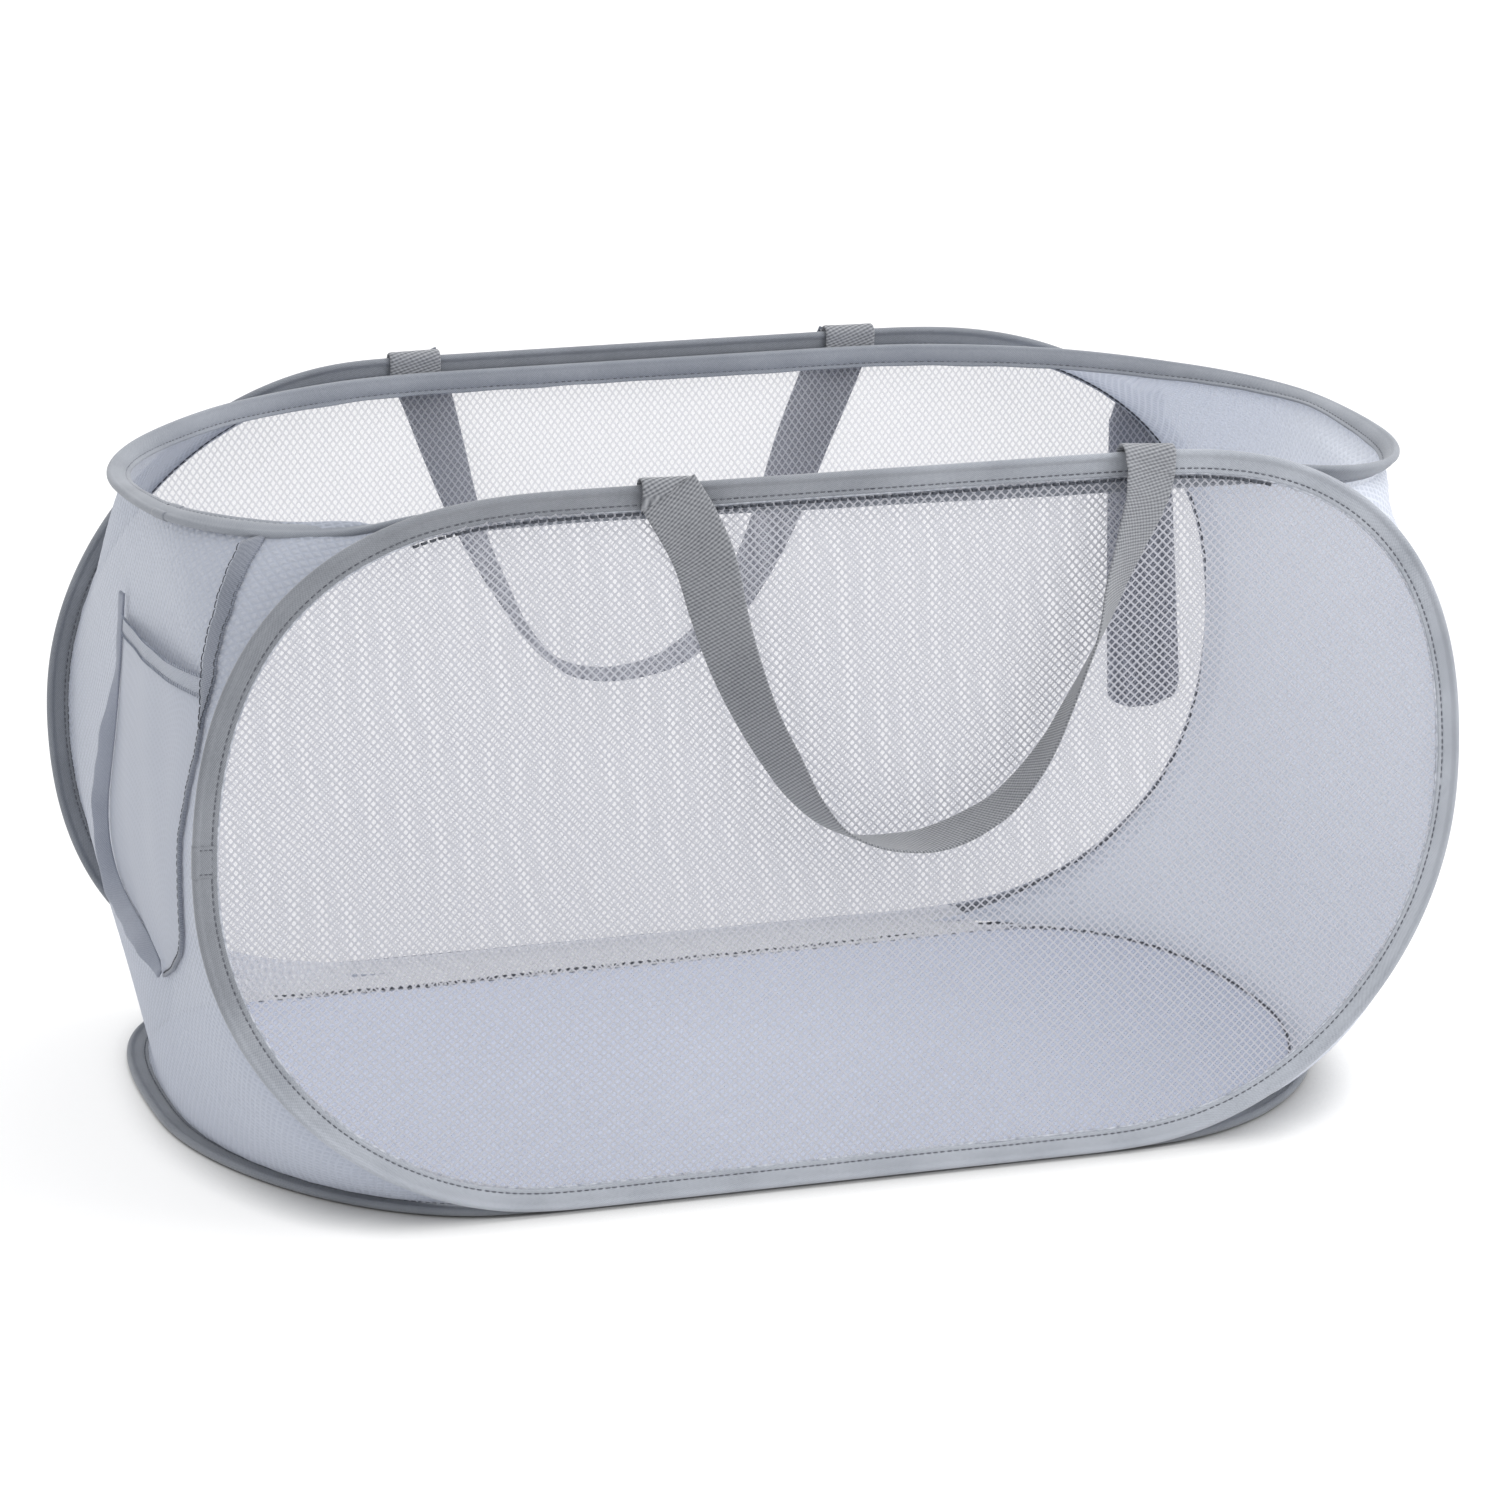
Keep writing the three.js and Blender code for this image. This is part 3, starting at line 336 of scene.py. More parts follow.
def net(name, base, shade, pitch_u, pitch_v, line, soft, through, filled=0.0, turn=0.0, drift=0.004, deep=None, wobble=0.3, painted_hole_shade=(1, 1, 1), solid=1.0, relief=0.5):
    """Knitted net: threads cross on the two diagonals of a pitch_u by pitch_v lattice and leave
    diamond holes. line sets how thin the threads are, soft how blurred their edges, filled how
    much of a hole is closed with the colour deep, solid how much of a thread hides what is behind
    it. deep is the colour at a filled hole: in the floor net painted shadow of the gap under it,
    in the back net's foot painted light. The transparent colour tints what shows through the
    holes darker, as painted shade."""
    mat = bpy.data.materials.new(name)
    mat.use_nodes = True
    nt = mat.node_tree
    nt.nodes.clear()
    out = nt.nodes.new("ShaderNodeOutputMaterial")
    _, u, v = uv_axes(nt)
    # the knit is never quite square: it drifts by a few millimetres over the length of a hand
    tc = nt.nodes.new("ShaderNodeTexCoord")
    n = nt.nodes.new("ShaderNodeTexNoise")
    n.inputs["Scale"].default_value = 11.0
    n.inputs["Detail"].default_value = 2.0
    nt.links.new(tc.outputs["Object"], n.inputs["Vector"])
    sep = nt.nodes.new("ShaderNodeSeparateColor")
    nt.links.new(n.outputs["Color"], sep.inputs[0])
    du = math_node(nt, "MULTIPLY", math_node(nt, "SUBTRACT", sep.outputs[0], 0.5), drift * 4)
    dv = math_node(nt, "MULTIPLY", math_node(nt, "SUBTRACT", sep.outputs[1], 0.5), drift * 4)
    u0, v0 = math_node(nt, "ADD", u, du), math_node(nt, "ADD", v, dv)
    c, sn = math.cos(turn), math.sin(turn)
    u1 = math_node(nt, "ADD", math_node(nt, "MULTIPLY", u0, c), math_node(nt, "MULTIPLY", v0, sn))
    v1 = math_node(nt, "SUBTRACT", math_node(nt, "MULTIPLY", v0, c), math_node(nt, "MULTIPLY", u0, sn))
    a = math_node(nt, "MULTIPLY", u1, 1 / pitch_u)
    b = math_node(nt, "MULTIPLY", v1, 1 / pitch_v)
    cp, cq = cosine(nt, math_node(nt, "ADD", a, b)), cosine(nt, math_node(nt, "SUBTRACT", a, b))
    s = math_node(nt, "MAXIMUM", cp, cq)
    # knots where the threads cross
    s = math_node(nt, "ADD", s, math_node(nt, "MULTIPLY", math_node(nt, "ADD", cp, cq), 0.10))
    wob = math_node(nt, "MULTIPLY", math_node(nt, "SUBTRACT", cloth_noise(nt, 210.0, 1.0), 0.5), wobble)
    s = math_node(nt, "ADD", s, wob)
    thread = nt.nodes.new("ShaderNodeMapRange")
    thread.interpolation_type = "SMOOTHSTEP"
    nt.links.new(s, thread.inputs["Value"])
    thread.inputs["From Min"].default_value = line - soft
    thread.inputs["From Max"].default_value = line + soft
    thread.inputs["To Min"].default_value = 0.0
    thread.inputs["To Max"].default_value = 1.0
    alpha = math_node(nt, "ADD", math_node(nt, "MULTIPLY", thread.outputs[0], solid - filled), filled)
    bsdf = nt.nodes.new("ShaderNodeBsdfPrincipled")
    large = cloth_noise(nt, 9.0, 3.0)
    tone = math_node(nt, "ADD", math_node(nt, "MULTIPLY", large, 0.5),
                     math_node(nt, "MULTIPLY", math_node(nt, "ADD", s, 1.0), 0.2))
    colour = ramp(nt, tone, [(0.25, base), (0.75, shade)])
    if deep is not None:
        mix = nt.nodes.new("ShaderNodeMix")
        mix.data_type = "RGBA"
        nt.links.new(thread.outputs[0], mix.inputs[0])
        mix.inputs[6].default_value = (*deep, 1)
        nt.links.new(colour, mix.inputs[7])
        colour = mix.outputs[2]
    nt.links.new(colour, bsdf.inputs["Base Color"])
    bsdf.inputs["Roughness"].default_value = 0.55
    bsdf.inputs["Specular IOR Level"].default_value = 0.35
    bsdf.inputs["Sheen Weight"].default_value = 0.2
    bump = nt.nodes.new("ShaderNodeBump")
    bump.inputs["Strength"].default_value = relief
    bump.inputs["Distance"].default_value = 0.0005
    nt.links.new(s, bump.inputs["Height"])
    nt.links.new(bump.outputs[0], bsdf.inputs["Normal"])
    trans = nt.nodes.new("ShaderNodeBsdfTranslucent")
    nt.links.new(colour, trans.inputs["Color"])
    cloth = nt.nodes.new("ShaderNodeMixShader")
    cloth.inputs[0].default_value = through
    nt.links.new(bsdf.outputs[0], cloth.inputs[1])
    nt.links.new(trans.outputs[0], cloth.inputs[2])
    clear = nt.nodes.new("ShaderNodeBsdfTransparent")
    clear.inputs["Color"].default_value = (*painted_hole_shade, 1)  # painted shade: every hole tints what shows through it darker
    mix = nt.nodes.new("ShaderNodeMixShader")
    nt.links.new(alpha, mix.inputs[0])
    nt.links.new(clear.outputs[0], mix.inputs[1])
    nt.links.new(cloth.outputs[0], mix.inputs[2])
    nt.links.new(mix.outputs[0], out.inputs[0])
    return mat


M_TAPE = woven("twill_tape_grey", (0.135, 0.145, 0.165), (0.305, 0.32, 0.35), 0.00105, 0.00095, 1.0, painted_light=((0.24, 0.26, 0.295), (0.52, 0.545, 0.60)))
M_TAPE_BACK = woven("twill_tape_slate", (0.138, 0.150, 0.172), (0.295, 0.312, 0.345), 0.00105, 0.00095, 1.0)
M_TAPE_TOP = woven("twill_tape_mouth", (0.165, 0.18, 0.21), (0.335, 0.355, 0.395), 0.00105, 0.00095, 1.0)
M_WEB = woven("webbing_grey", (0.078, 0.084, 0.098), (0.40, 0.41, 0.435), 0.0016, 0.0026, 0.5, bump=1.0, blotch=0.05)
# painted shade: the back handle's webbing is the same webbing as its ends but coloured darker where it hangs behind the
# nets
M_WEB_BACK_SHADED = woven("webbing_back_painted_shade", (0.09, 0.101, 0.128), (0.22, 0.24, 0.285), 0.00125, 0.0031, 0.35, bump=0.8)
M_STRAP = woven("closure_slate", (0.095, 0.107, 0.135), (0.21, 0.23, 0.28), 0.0013, 0.0013, 1.0, bump=0.6)
# The front and back nets are one cloth: the front's colours are darker as painted shade, the back's paler as painted
# light
M_NET = net("net_front", (0.57, 0.575, 0.62), (0.49, 0.495, 0.54), 0.00425, 0.00415, 0.70, 0.24, 0.3, 0.05, drift=0.0012, painted_hole_shade=(0.975, 0.975, 0.98), solid=0.92)
M_NET_BACK = net("net_back", (0.62, 0.625, 0.67), (0.54, 0.545, 0.59), 0.00365, 0.0049, 0.70, 0.28, 0.3, 0.28, turn=0.03, drift=0.0012, painted_hole_shade=(0.86, 0.86, 0.87), solid=0.66)
M_NET_END = net("net_end", (0.745, 0.78, 0.86), (0.65, 0.685, 0.765), 0.0062, 0.0046, 0.55, 0.35, 0.2, 0.92, deep=(0.60, 0.64, 0.73), turn=-0.1)
# painted shade: the left end's net is the end net's cloth coloured darker, for the end that faces away from the key
# light
M_NET_LEFT_SHADED = net("net_left_end_painted_shade", (0.45, 0.48, 0.555), (0.385, 0.415, 0.485), 0.0062, 0.0046, 0.55, 0.45, 0.2, 0.86, deep=(0.375, 0.405, 0.475), turn=-0.1, wobble=1.0, relief=0.35)
# painted shadow: the floor net is opaque, its holes filled with a darker colour for the shaded gap under it
M_NET_FLOOR = net("net_floor", (0.61, 0.65, 0.765), (0.55, 0.59, 0.71), 0.0040, 0.0046, 0.4, 0.5, 0.05, 1.0, deep=(0.55, 0.59, 0.715))
# painted light: the foot of the back net is an opaque sheet coloured pale, its holes near white, standing in for light
# seen through the net
M_NET_COVE = net("net_back_foot", (0.84, 0.85, 0.885), (0.77, 0.78, 0.82), 0.00365, 0.0049, 0.6, 0.3, 0.3, 1.0, deep=(0.97, 0.97, 0.98))
# painted shade: the pocket and its hem on the left end are coloured darker with that end, the hem darker still against
# the light on its upturned face
M_HEM = net("net_hem", (0.42, 0.45, 0.525), (0.36, 0.39, 0.46), 0.0022, 0.0022, 0.4, 0.5, 0.1, 0.97, deep=(0.38, 0.41, 0.48), turn=0.35, wobble=0.9)
M_POCKET = net("net_pocket", (0.475, 0.505, 0.585), (0.40, 0.43, 0.505), 0.0066, 0.0044, 0.5, 0.6, 0.15, 0.95, deep=(0.42, 0.45, 0.525), turn=0.2, wobble=2.2, relief=0.12)
M_THREAD, _nt, _b = principled("stitch_thread", (0.05, 0.055, 0.07), 0.6)
_c = ramp(_nt, cloth_noise(_nt, 700.0), [(0.3, (0.03, 0.034, 0.045)), (0.7, (0.09, 0.097, 0.115))])
_nt.links.new(_c, _b.inputs["Base Color"])
M_STITCH, _nt, _b = principled("tape_thread", (0.11, 0.12, 0.14), 0.6)
_c = ramp(_nt, cloth_noise(_nt, 700.0), [(0.3, (0.075, 0.08, 0.098)), (0.7, (0.17, 0.18, 0.205))])
_nt.links.new(_c, _b.inputs["Base Color"])
M_SELVEDGE, _nt, _b = principled("selvedge", (0.45, 0.465, 0.51), 0.7)
_c = ramp(_nt, cloth_noise(_nt, 420.0), [(0.3, (0.28, 0.30, 0.35)), (0.7, (0.54, 0.56, 0.61))])
_nt.links.new(_c, _b.inputs["Base Color"])
M_THREAD_SOFT, _nt, _b = principled("stitch_thread_soft", (0.16, 0.18, 0.22), 0.6)
_c = ramp(_nt, cloth_noise(_nt, 700.0), [(0.3, (0.17, 0.19, 0.24)), (0.7, (0.30, 0.33, 0.40))])
_nt.links.new(_c, _b.inputs["Base Color"])
M_HOOK, _nt, _b = principled("hook_tape", (0.10, 0.11, 0.14), 0.9)
_c = ramp(_nt, cloth_noise(_nt, 1500.0), [(0.35, (0.05, 0.055, 0.075)), (0.65, (0.15, 0.16, 0.20))])
_nt.links.new(_c, _b.inputs["Base Color"])
M_STEEL, _nt, _b = principled("spring_steel", (0.5, 0.5, 0.52), 0.35)
_b.inputs["Metallic"].default_value = 1.0
_c = ramp(_nt, cloth_noise(_nt, 300.0), [(0.3, (0.42, 0.42, 0.44)), (0.7, (0.56, 0.56, 0.58))])
_nt.links.new(_c, _b.inputs["Base Color"])


# ------------------------------------------------------------------ hoops in twill tape
def half_thickness(r):
    """Half thickness of the folded tape against the distance in from its outer edge."""
    r = np.asarray(r, float)
    wire = np.sqrt(np.clip(1.9**2 - (r - 1.9) ** 2, 0, None))
    flat = 0.72 + 0.1 * np.cos((r - 6) * 0.7)
    flat = flat - 0.30 * np.exp(-(((r - 8.9) / 0.55) ** 2))  # pulled in along the stitching
    mix = np.clip((r - 2.4) / 2.2, 0, 1)
    mix = mix * mix * (3 - 2 * mix)
    out = wire * (1 - mix) + flat * mix
    return np.where(r < 1.9, wire, out)


R_TOP = np.array([0.0, 0.15, 0.5, 1.0, 1.6, 2.2, 2.9, 3.6, 4.4, 5.4, 6.6, 7.7, 8.4, 8.9, 9.4, 10.0, 10.6, 11.0])
SECTION = [(r, half_thickness(r)) for r in R_TOP[1:]] + [(11.15, 0.0)]
SECTION = [(0.0, 0.0)] + SECTION + [(r, -half_thickness(r)) for r in R_TOP[:0:-1]]
SECTION = np.array(SECTION)
SECTION[SECTION[:, 0] == 11.0, 1] *= 0.75
SEC_V = np.r_[0, np.cumsum(np.linalg.norm(np.diff(np.vstack([SECTION, SECTION[:1]]), axis=0), axis=1))] * 0.001


def smooth01(x):
    x = np.clip(x, 0, 1)
    return x * x * (3 - 2 * x)


# how the mouth's tape lies round its ring: x, y, how far its wire edge is turned up in degrees, rise
MOUTH = [
    (313, 0, 5, 0), (300, 60, 25, 1), (270, 110, 45, 2), (220, 150, 62, 4), (150, 172, 80, 5), (-150, 172, 80, 5),
    (-210, 150, 62, 4), (-262, 110, 45, 2), (-290, 60, 25, 1), (-300, 0, 5, 0), (-296, -60, -15, 1.5),
    (-275, -105, -28, 3.5), (-250, -140, -28, 6), (-222, -158, -26, 8), (-203, -166, 80, 17.5), (-139, -172, 82, 20),
    (-90, -172, 82, 19.3), (25, -172, 82, 17.8), (122, -172, 82, 16.3), (200, -165, 80, 15.5), (232, -150, 60, 9),
    (265, -120, 45, 3), (298, -60, 25, 1),
]


def top_frame(p, n):
    ring = OUT["top"]
    count = len(ring)
    rows = sorted((int(np.argmin(np.hypot(ring[:, 0] - x, ring[:, 1] - y))), t, r) for x, y, t, r in MOUTH)
    at = np.array([r[0] for r in rows])
    at = np.r_[at - count, at, at + count]
    near = np.argmin(np.hypot(p[:, None, 0] - ring[None, :, 0], p[:, None, 1] - ring[None, :, 1]), axis=1)
    out = []
    for k in (1, 2):
        dense = np.interp(np.arange(count), at, np.tile([r[k] for r in rows], 3))
        dense = np.mean([np.roll(dense, q) for q in range(-7, 8)], axis=0)
        dense = np.mean([np.roll(dense, q) for q in range(-4, 5)], axis=0)
        out.append(dense[near])
    return np.radians(out[0]), out[1]


def hoop_frames(kind, count=440):
    """Stations of a hoop: outer-edge points, and the two unit vectors of its tape section."""
    full = OUT[kind]
    p = resample(full, count, True)
    n = normals_in(p)
    seed = {"front": 11, "back": 12, "top": 13, "bottom": 14}[kind]
    lean_noise = np.radians(noise1(count, (2, 26), seed, 3.2))
    if kind == "top":
        tilt, rise = top_frame(p, n)
        tilt = tilt + lean_noise
        base = np.column_stack([p, TOP_Z + rise])
        # along the front the turned-up tape lies against the wall's inner side
        front = smooth01((-p[:, 1] - 120) / 45) * smooth01((262 - np.abs(p[:, 0])) / 60)
        base[:, 1] += 3.4 * front
        back = smooth01((p[:, 1] - 120) / 45) * smooth01((285 - np.abs(p[:, 0])) / 80)
        base[:, 1] -= 2.2 * back
        e_in = np.column_stack([n * np.cos(tilt)[:, None], -np.sin(tilt)])
        e_up = np.column_stack([n * np.sin(tilt)[:, None], np.cos(tilt)])
        return base, e_in, e_up
    tilt = lean_noise * (0.6 if kind == "bottom" else 1.0)
    w0 = np.zeros(count)
    base = lift(kind, p[:, 0], p[:, 1], w0)
    inner = lift(kind, p[:, 0] + n[:, 0], p[:, 1] + n[:, 1], w0) - base
    off = lift(kind, p[:, 0], p[:, 1], w0 + 1) - base
    c, s = np.cos(tilt)[:, None], np.sin(tilt)[:, None]
    if kind == "bottom":
        # it lies on the floor with its stitched edge a little raised
        base = base + off * (-0.25)
        c, s = np.cos(np.radians(3.5) + np.abs(tilt))[:, None], np.sin(np.radians(3.5) + np.abs(tilt))[:, None]
    return base, inner * c + off * s, off * c - inner * s


FRAMES = {}
TAPE_MATERIAL = {"front": M_TAPE, "back": M_TAPE_BACK, "top": M_TAPE_TOP, "bottom": M_TAPE_BACK}
SEED = {"front": 1, "back": 2, "top": 3, "bottom": 4}
for kind in HOOPS:
    base, e_in, e_up = FRAMES[kind] = hoop_frames(kind)
    n = len(base)
    width = 1 + noise1(n, (5, 60), 40 + SEED[kind], 0.025)
    section = SECTION.copy()
    if kind == "top":  # the mouth's tape is plump, like a flattened tube
        round_ = 1.95 * np.sqrt(np.clip(1 - ((section[:, 0] - 4.6) / 4.6) ** 2, 0, 1))
        section[:, 1] = np.sign(section[:, 1]) * np.maximum(np.abs(section[:, 1]), round_ * (np.abs(section[:, 1]) > 0))
    rings = (
        base[:, None, :]
        + e_in[:, None, :] * (section[None, :, 0:1] * width[:, None, None])
        + e_up[:, None, :] * section[None, :, 1:2]
    )
    step = np.linalg.norm(np.diff(np.vstack([base, base[:1]]), axis=0), axis=1)
    u = np.r_[0, np.cumsum(step)] * 0.001
    tape = sweep_object(kind + "_twill_tape", rings, u, SEC_V, True, TAPE_MATERIAL[kind], kind)
    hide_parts(kind + "_binding_tape")

    # the sprung wire inside it
    sides = 8
    ang = np.linspace(0, 2 * math.pi, sides, endpoint=False)
    centre = base + e_in * WIRE_IN
    wire = (
        centre[:, None, :]
        + e_in[:, None, :] * (0.9 * np.cos(ang))[None, :, None]
        + e_up[:, None, :] * (0.9 * np.sin(ang))[None, :, None]
    )
    w = sweep_object(kind + "_spring_wire", wire[::2], u[:-1:2].tolist() + [u[-1]], np.arange(sides + 1) * 0.0007, True, M_STEEL, kind)
    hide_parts(kind + "_wire_hoop")


def thread_run(name, base, along, off, out_dir, pitch, length, radius, material, body, proud, both=False, skip=None):
    """A row of stitches: short rounded bars that dip into the cloth at their ends."""
    d = np.r_[0, np.cumsum(np.linalg.norm(np.diff(base, axis=0), axis=1))]
    total = d[-1]
    verts, faces = [], []
    count = int(total / pitch)
    r = np.random.default_rng(len(name) * 7 + count)
    prof = np.array([(-0.5, -0.6), (-0.38, 0.35), (0.0, 0.75), (0.38, 0.35), (0.5, -0.6)])
    for i in range(count):
        s0 = (i + 0.5) * pitch + r.normal() * 0.12
        if skip is not None and skip(s0 / total):
            continue
        pts = []
        for t, _ in prof:
            s = s0 + t * length
            pts.append([np.interp(s, d, base[:, k]) for k in range(3)])
        pts = np.array(pts)
        up = np.array([np.interp(s0, d, out_dir[:, k]) for k in range(3)])
        up /= np.linalg.norm(up)
        tan = pts[-1] - pts[0]
        tan /= np.linalg.norm(tan)
        side = np.cross(tan, up)
        for sign in (1, -1) if both else (1,):
            b0 = len(verts)
            for (t, hgt), p in zip(prof, pts):
                c = p + sign * up * (proud + radius * hgt)
                for a in (0, math.pi / 2, math.pi, 3 * math.pi / 2):
                    verts.append(c + side * radius * math.cos(a) + up * radius * 0.8 * math.sin(a))
            m = len(prof)
            for k in range(m - 1):
                for a in range(4):
                    a2 = (a + 1) % 4
                    faces.append((b0 + k * 4 + a, b0 + k * 4 + a2, b0 + (k + 1) * 4 + a2, b0 + (k + 1) * 4 + a))
            faces.append((b0, b0 + 3, b0 + 2, b0 + 1))
            faces.append(tuple(b0 + (m - 1) * 4 + a for a in range(4)))
    ob = new_object(name, np.array(verts), faces, None, True, material)
    face_out(ob)
    if body:
        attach(ob, body)
    return ob


for kind in HOOPS:
    base, e_in, e_up = FRAMES[kind]
    line = base + e_in * 8.9
    line = np.vstack([line, line[:1]])
    up = np.vstack([e_up, e_up[:1]])
    st = thread_run(kind + "_tape_stitching", line, None, None, up, 3.4, 2.4, 0.30, M_STITCH, kind, 0.46, both=True)
    if kind not in ("front", "back"):
        continue
    # selvedge of the net that shows inside the tape
    edge = base + e_in * 11.4
    ang = np.linspace(0, 2 * math.pi, 6, endpoint=False)
    wob = 1 + noise1(len(base), (9, 80), 90 + SEED[kind], 0.25)
    sv = (
        edge[:, None, :]
        + e_in[:, None, :] * (0.6 * wob[:, None] * np.cos(ang)[None, :])[..., None]
        + e_up[:, None, :] * (0.3 * np.sin(ang))[None, :, None]
    )
    u = np.r_[0, np.cumsum(np.linalg.norm(np.diff(np.vstack([base, base[:1]]), axis=0), axis=1))] * 0.001
    sel = sweep_object(kind + "_selvedge", sv, u, np.arange(7) * 0.0006, True, M_SELVEDGE, kind)


def overlap(kind, centre, length, name):
    """Where the tape's two ends lap: a short second layer over the first, sewn across."""
    base, e_in, e_up = FRAMES[kind]
    d = np.linalg.norm(base - np.array(centre), axis=1)
    i0 = int(d.argmin())
    n = len(base)
    step = np.linalg.norm(base[1] - base[0])
    half = length / 2 / step
    at = np.linspace(i0 - half, i0 + half, 9) % n
    take = lambda t: np.stack([np.interp(at, np.arange(n + 1), np.r_[t[:, k], t[:1, k]]) for k in range(3)], axis=1)
    b, ei, eu = take(base), take(e_in), take(e_up)
    sec = SECTION.copy()
    sec[:, 0] = 5.6 + (sec[:, 0] - 5.6) * 1.035
    sec[:, 1] = sec[:, 1] + np.sign(sec[:, 1]) * 0.32
    rings = b[:, None, :] + ei[:, None, :] * sec[None, :, 0:1] + eu[:, None, :] * sec[None, :, 1:2]
    ob = sweep_object(name, rings, np.linspace(0, length, 9) * 0.001, SEC_V, False, TAPE_MATERIAL[kind], kind)
    # the crimped sleeve on the wire ends is inside this lap
    sides = 10
    ang = np.linspace(0, 2 * math.pi, sides, endpoint=False)
    c = b + ei * WIRE_IN
    sl = c[:, None, :] + ei[:, None, :] * (1.25 * np.cos(ang))[None, :, None] + eu[:, None, :] * (1.25 * np.sin(ang))[None, :, None]
    fe = sweep_object(kind + "_crimp_sleeve", sl, np.linspace(0, length, 9) * 0.001, np.arange(sides + 1) * 0.0008, False, M_STEEL, kind)
    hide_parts(kind + "_wire_ferrule")
    for sign in (1, -1):  # the bar of stitches across the lap
        row = b[[1 if sign > 0 else -2]][0]
        e1, e2 = ei[4], eu[4]
        pts = np.array([row + e1 * r for r in np.linspace(2.8, 10.4, 12)])
        lift_ = half_thickness(np.linspace(2.8, 10.4, 12))[:, None] * e2
        t = thread_run(f"{name}_bar_{1 if sign > 0 else 2}", pts + lift_ * 0, None, None, np.repeat(e2[None], 12, 0), 2.1, 1.5, 0.26, M_STITCH, kind, 1.15, both=True)


overlap("front", (-302.9, -178.0, 182.9), 15.0, "front_tape_lap")
overlap("top", (-304.8, -81.4, 314.0), 13.0, "top_tape_lap")
overlap("back", (129.4, 177.0, 326.0), 14.0, "back_tape_lap")
overlap("bottom", (60.0, 175.0, 2.2), 14.0, "bottom_tape_lap")


# ------------------------------------------------------------------ wall and floor nets
def foot(x):
    """How far back the floor's net reaches: its back seam runs forward of the hoops."""
    return np.interp(x, [-236, -200, -160, -110, -47, 105, 160, 186, 210, 240], [171, 160, 157, 155, 158, 159.5, 162, 165.5, 169, 176])


def wall_net(name, kind, node, material, inset=10.2, sag=0.0, seed=0, offset=0.0):
    """A net cut to its hoop and sewn along the stitch line, as a grid trimmed to the outline."""
    base, e_in, e_up = FRAMES[kind]
    p = resample(OUT[kind], 440, True)
    n = normals_in(p)
    edge = p + n * inset
    if kind == "bottom":
        cap = foot(edge[:, 0])
        edge[:, 1] = np.where(edge[:, 1] > 0, -6 * np.log(np.exp(-edge[:, 1] / 6) + np.exp(-cap / 6)), edge[:, 1])
    centre = np.array([HOOPS[kind]["cx"], HOOPS[kind]["cv"]])
    # rings that shrink from the edge to the spine line between the two end centres
    a = HOOPS[kind]["a"] * 0.62
    spine = np.column_stack([np.clip(edge[:, 0] - centre[0], -a, a) + centre[0], np.full(len(edge), centre[1])])
    levels = np.array([0, 0.012, 0.03, 0.06, 0.1, 0.16, 0.24, 0.33, 0.43, 0.54, 0.66, 0.79, 0.92, 1.0])
    rings = [edge * (1 - t) + spine * t for t in levels]
    verts2 = np.vstack(rings)
    depth = np.repeat(levels, len(edge))
    r = np.random.default_rng(seed)
    w = np.zeros(len(verts2))
    for k in range(9):
        fx, fy = r.uniform(0.006, 0.03, 2)
        w += r.normal() * np.sin(fx * verts2[:, 0] + r.uniform(0, 6)) * np.sin(fy * verts2[:, 1] + r.uniform(0, 6))
    w = w / np.abs(w).max() * sag * np.sin(np.clip(depth * 2.2, 0, math.pi / 2)) + offset
    # small puckers where the edge is gathered into the tape
    k = np.arange(len(edge))
    pucker = 0.35 * np.sin(k * 2.1) * np.exp(-levels[:, None] * 30)
    w += pucker.ravel()
    verts = lift(kind, verts2[:, 0], verts2[:, 1], w)
    m = len(edge)
    faces = []
    for i in range(len(levels) - 1):
        for j in range(m):
            j2 = (j + 1) % m
            faces.append((i * m + j, i * m + j2, (i + 1) * m + j2, (i + 1) * m + j))
    uv = verts2 * 0.001
    ob = new_object(name, verts, faces, uv, True, material)
    bm = bmesh.new()
    bm.from_mesh(ob.data)
    bmesh.ops.remove_doubles(bm, verts=bm.verts, dist=1e-5)
    bmesh.ops.dissolve_degenerate(bm, dist=1e-6, edges=bm.edges)
    bm.to_mesh(ob.data)
    bm.free()
    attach(ob, kind)
    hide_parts(node)
    return ob


wall_net("front_net", "front", "front_mesh_panel", M_NET, sag=1.2, seed=3)
wall_net("back_net", "back", "back_mesh_panel", M_NET_BACK, sag=1.2, seed=5)
wall_net("floor_net", "bottom", "floor_mesh_panel", M_NET_FLOOR, sag=0.5, seed=8, offset=0.6)


# ------------------------------------------------------------------ end nets
def end_arc(kind, r, side, keep):
    p = OUT[kind]
    q = p + normals_in(p) * r
    c = HOOPS[kind]
    q = q[(q[:, 0] * side > c["cx"] * side) & keep(q)]
    q = q[np.argsort(np.arctan2(q[:, 1] - c["cv"], side * (q[:, 0] - c["cx"])))]
    return q


def snap(arc, a, b, count):
    body = resample(arc, 161, False)
    i = np.arange(161)
    s = smooth01(1 - i / 32.0)[:, None]
    e = smooth01(1 - (160 - i) / 32.0)[:, None]
    out = body + s * (a - body[0]) + e * (b - body[-1])
    return resample(out, count, False)


NE = 48


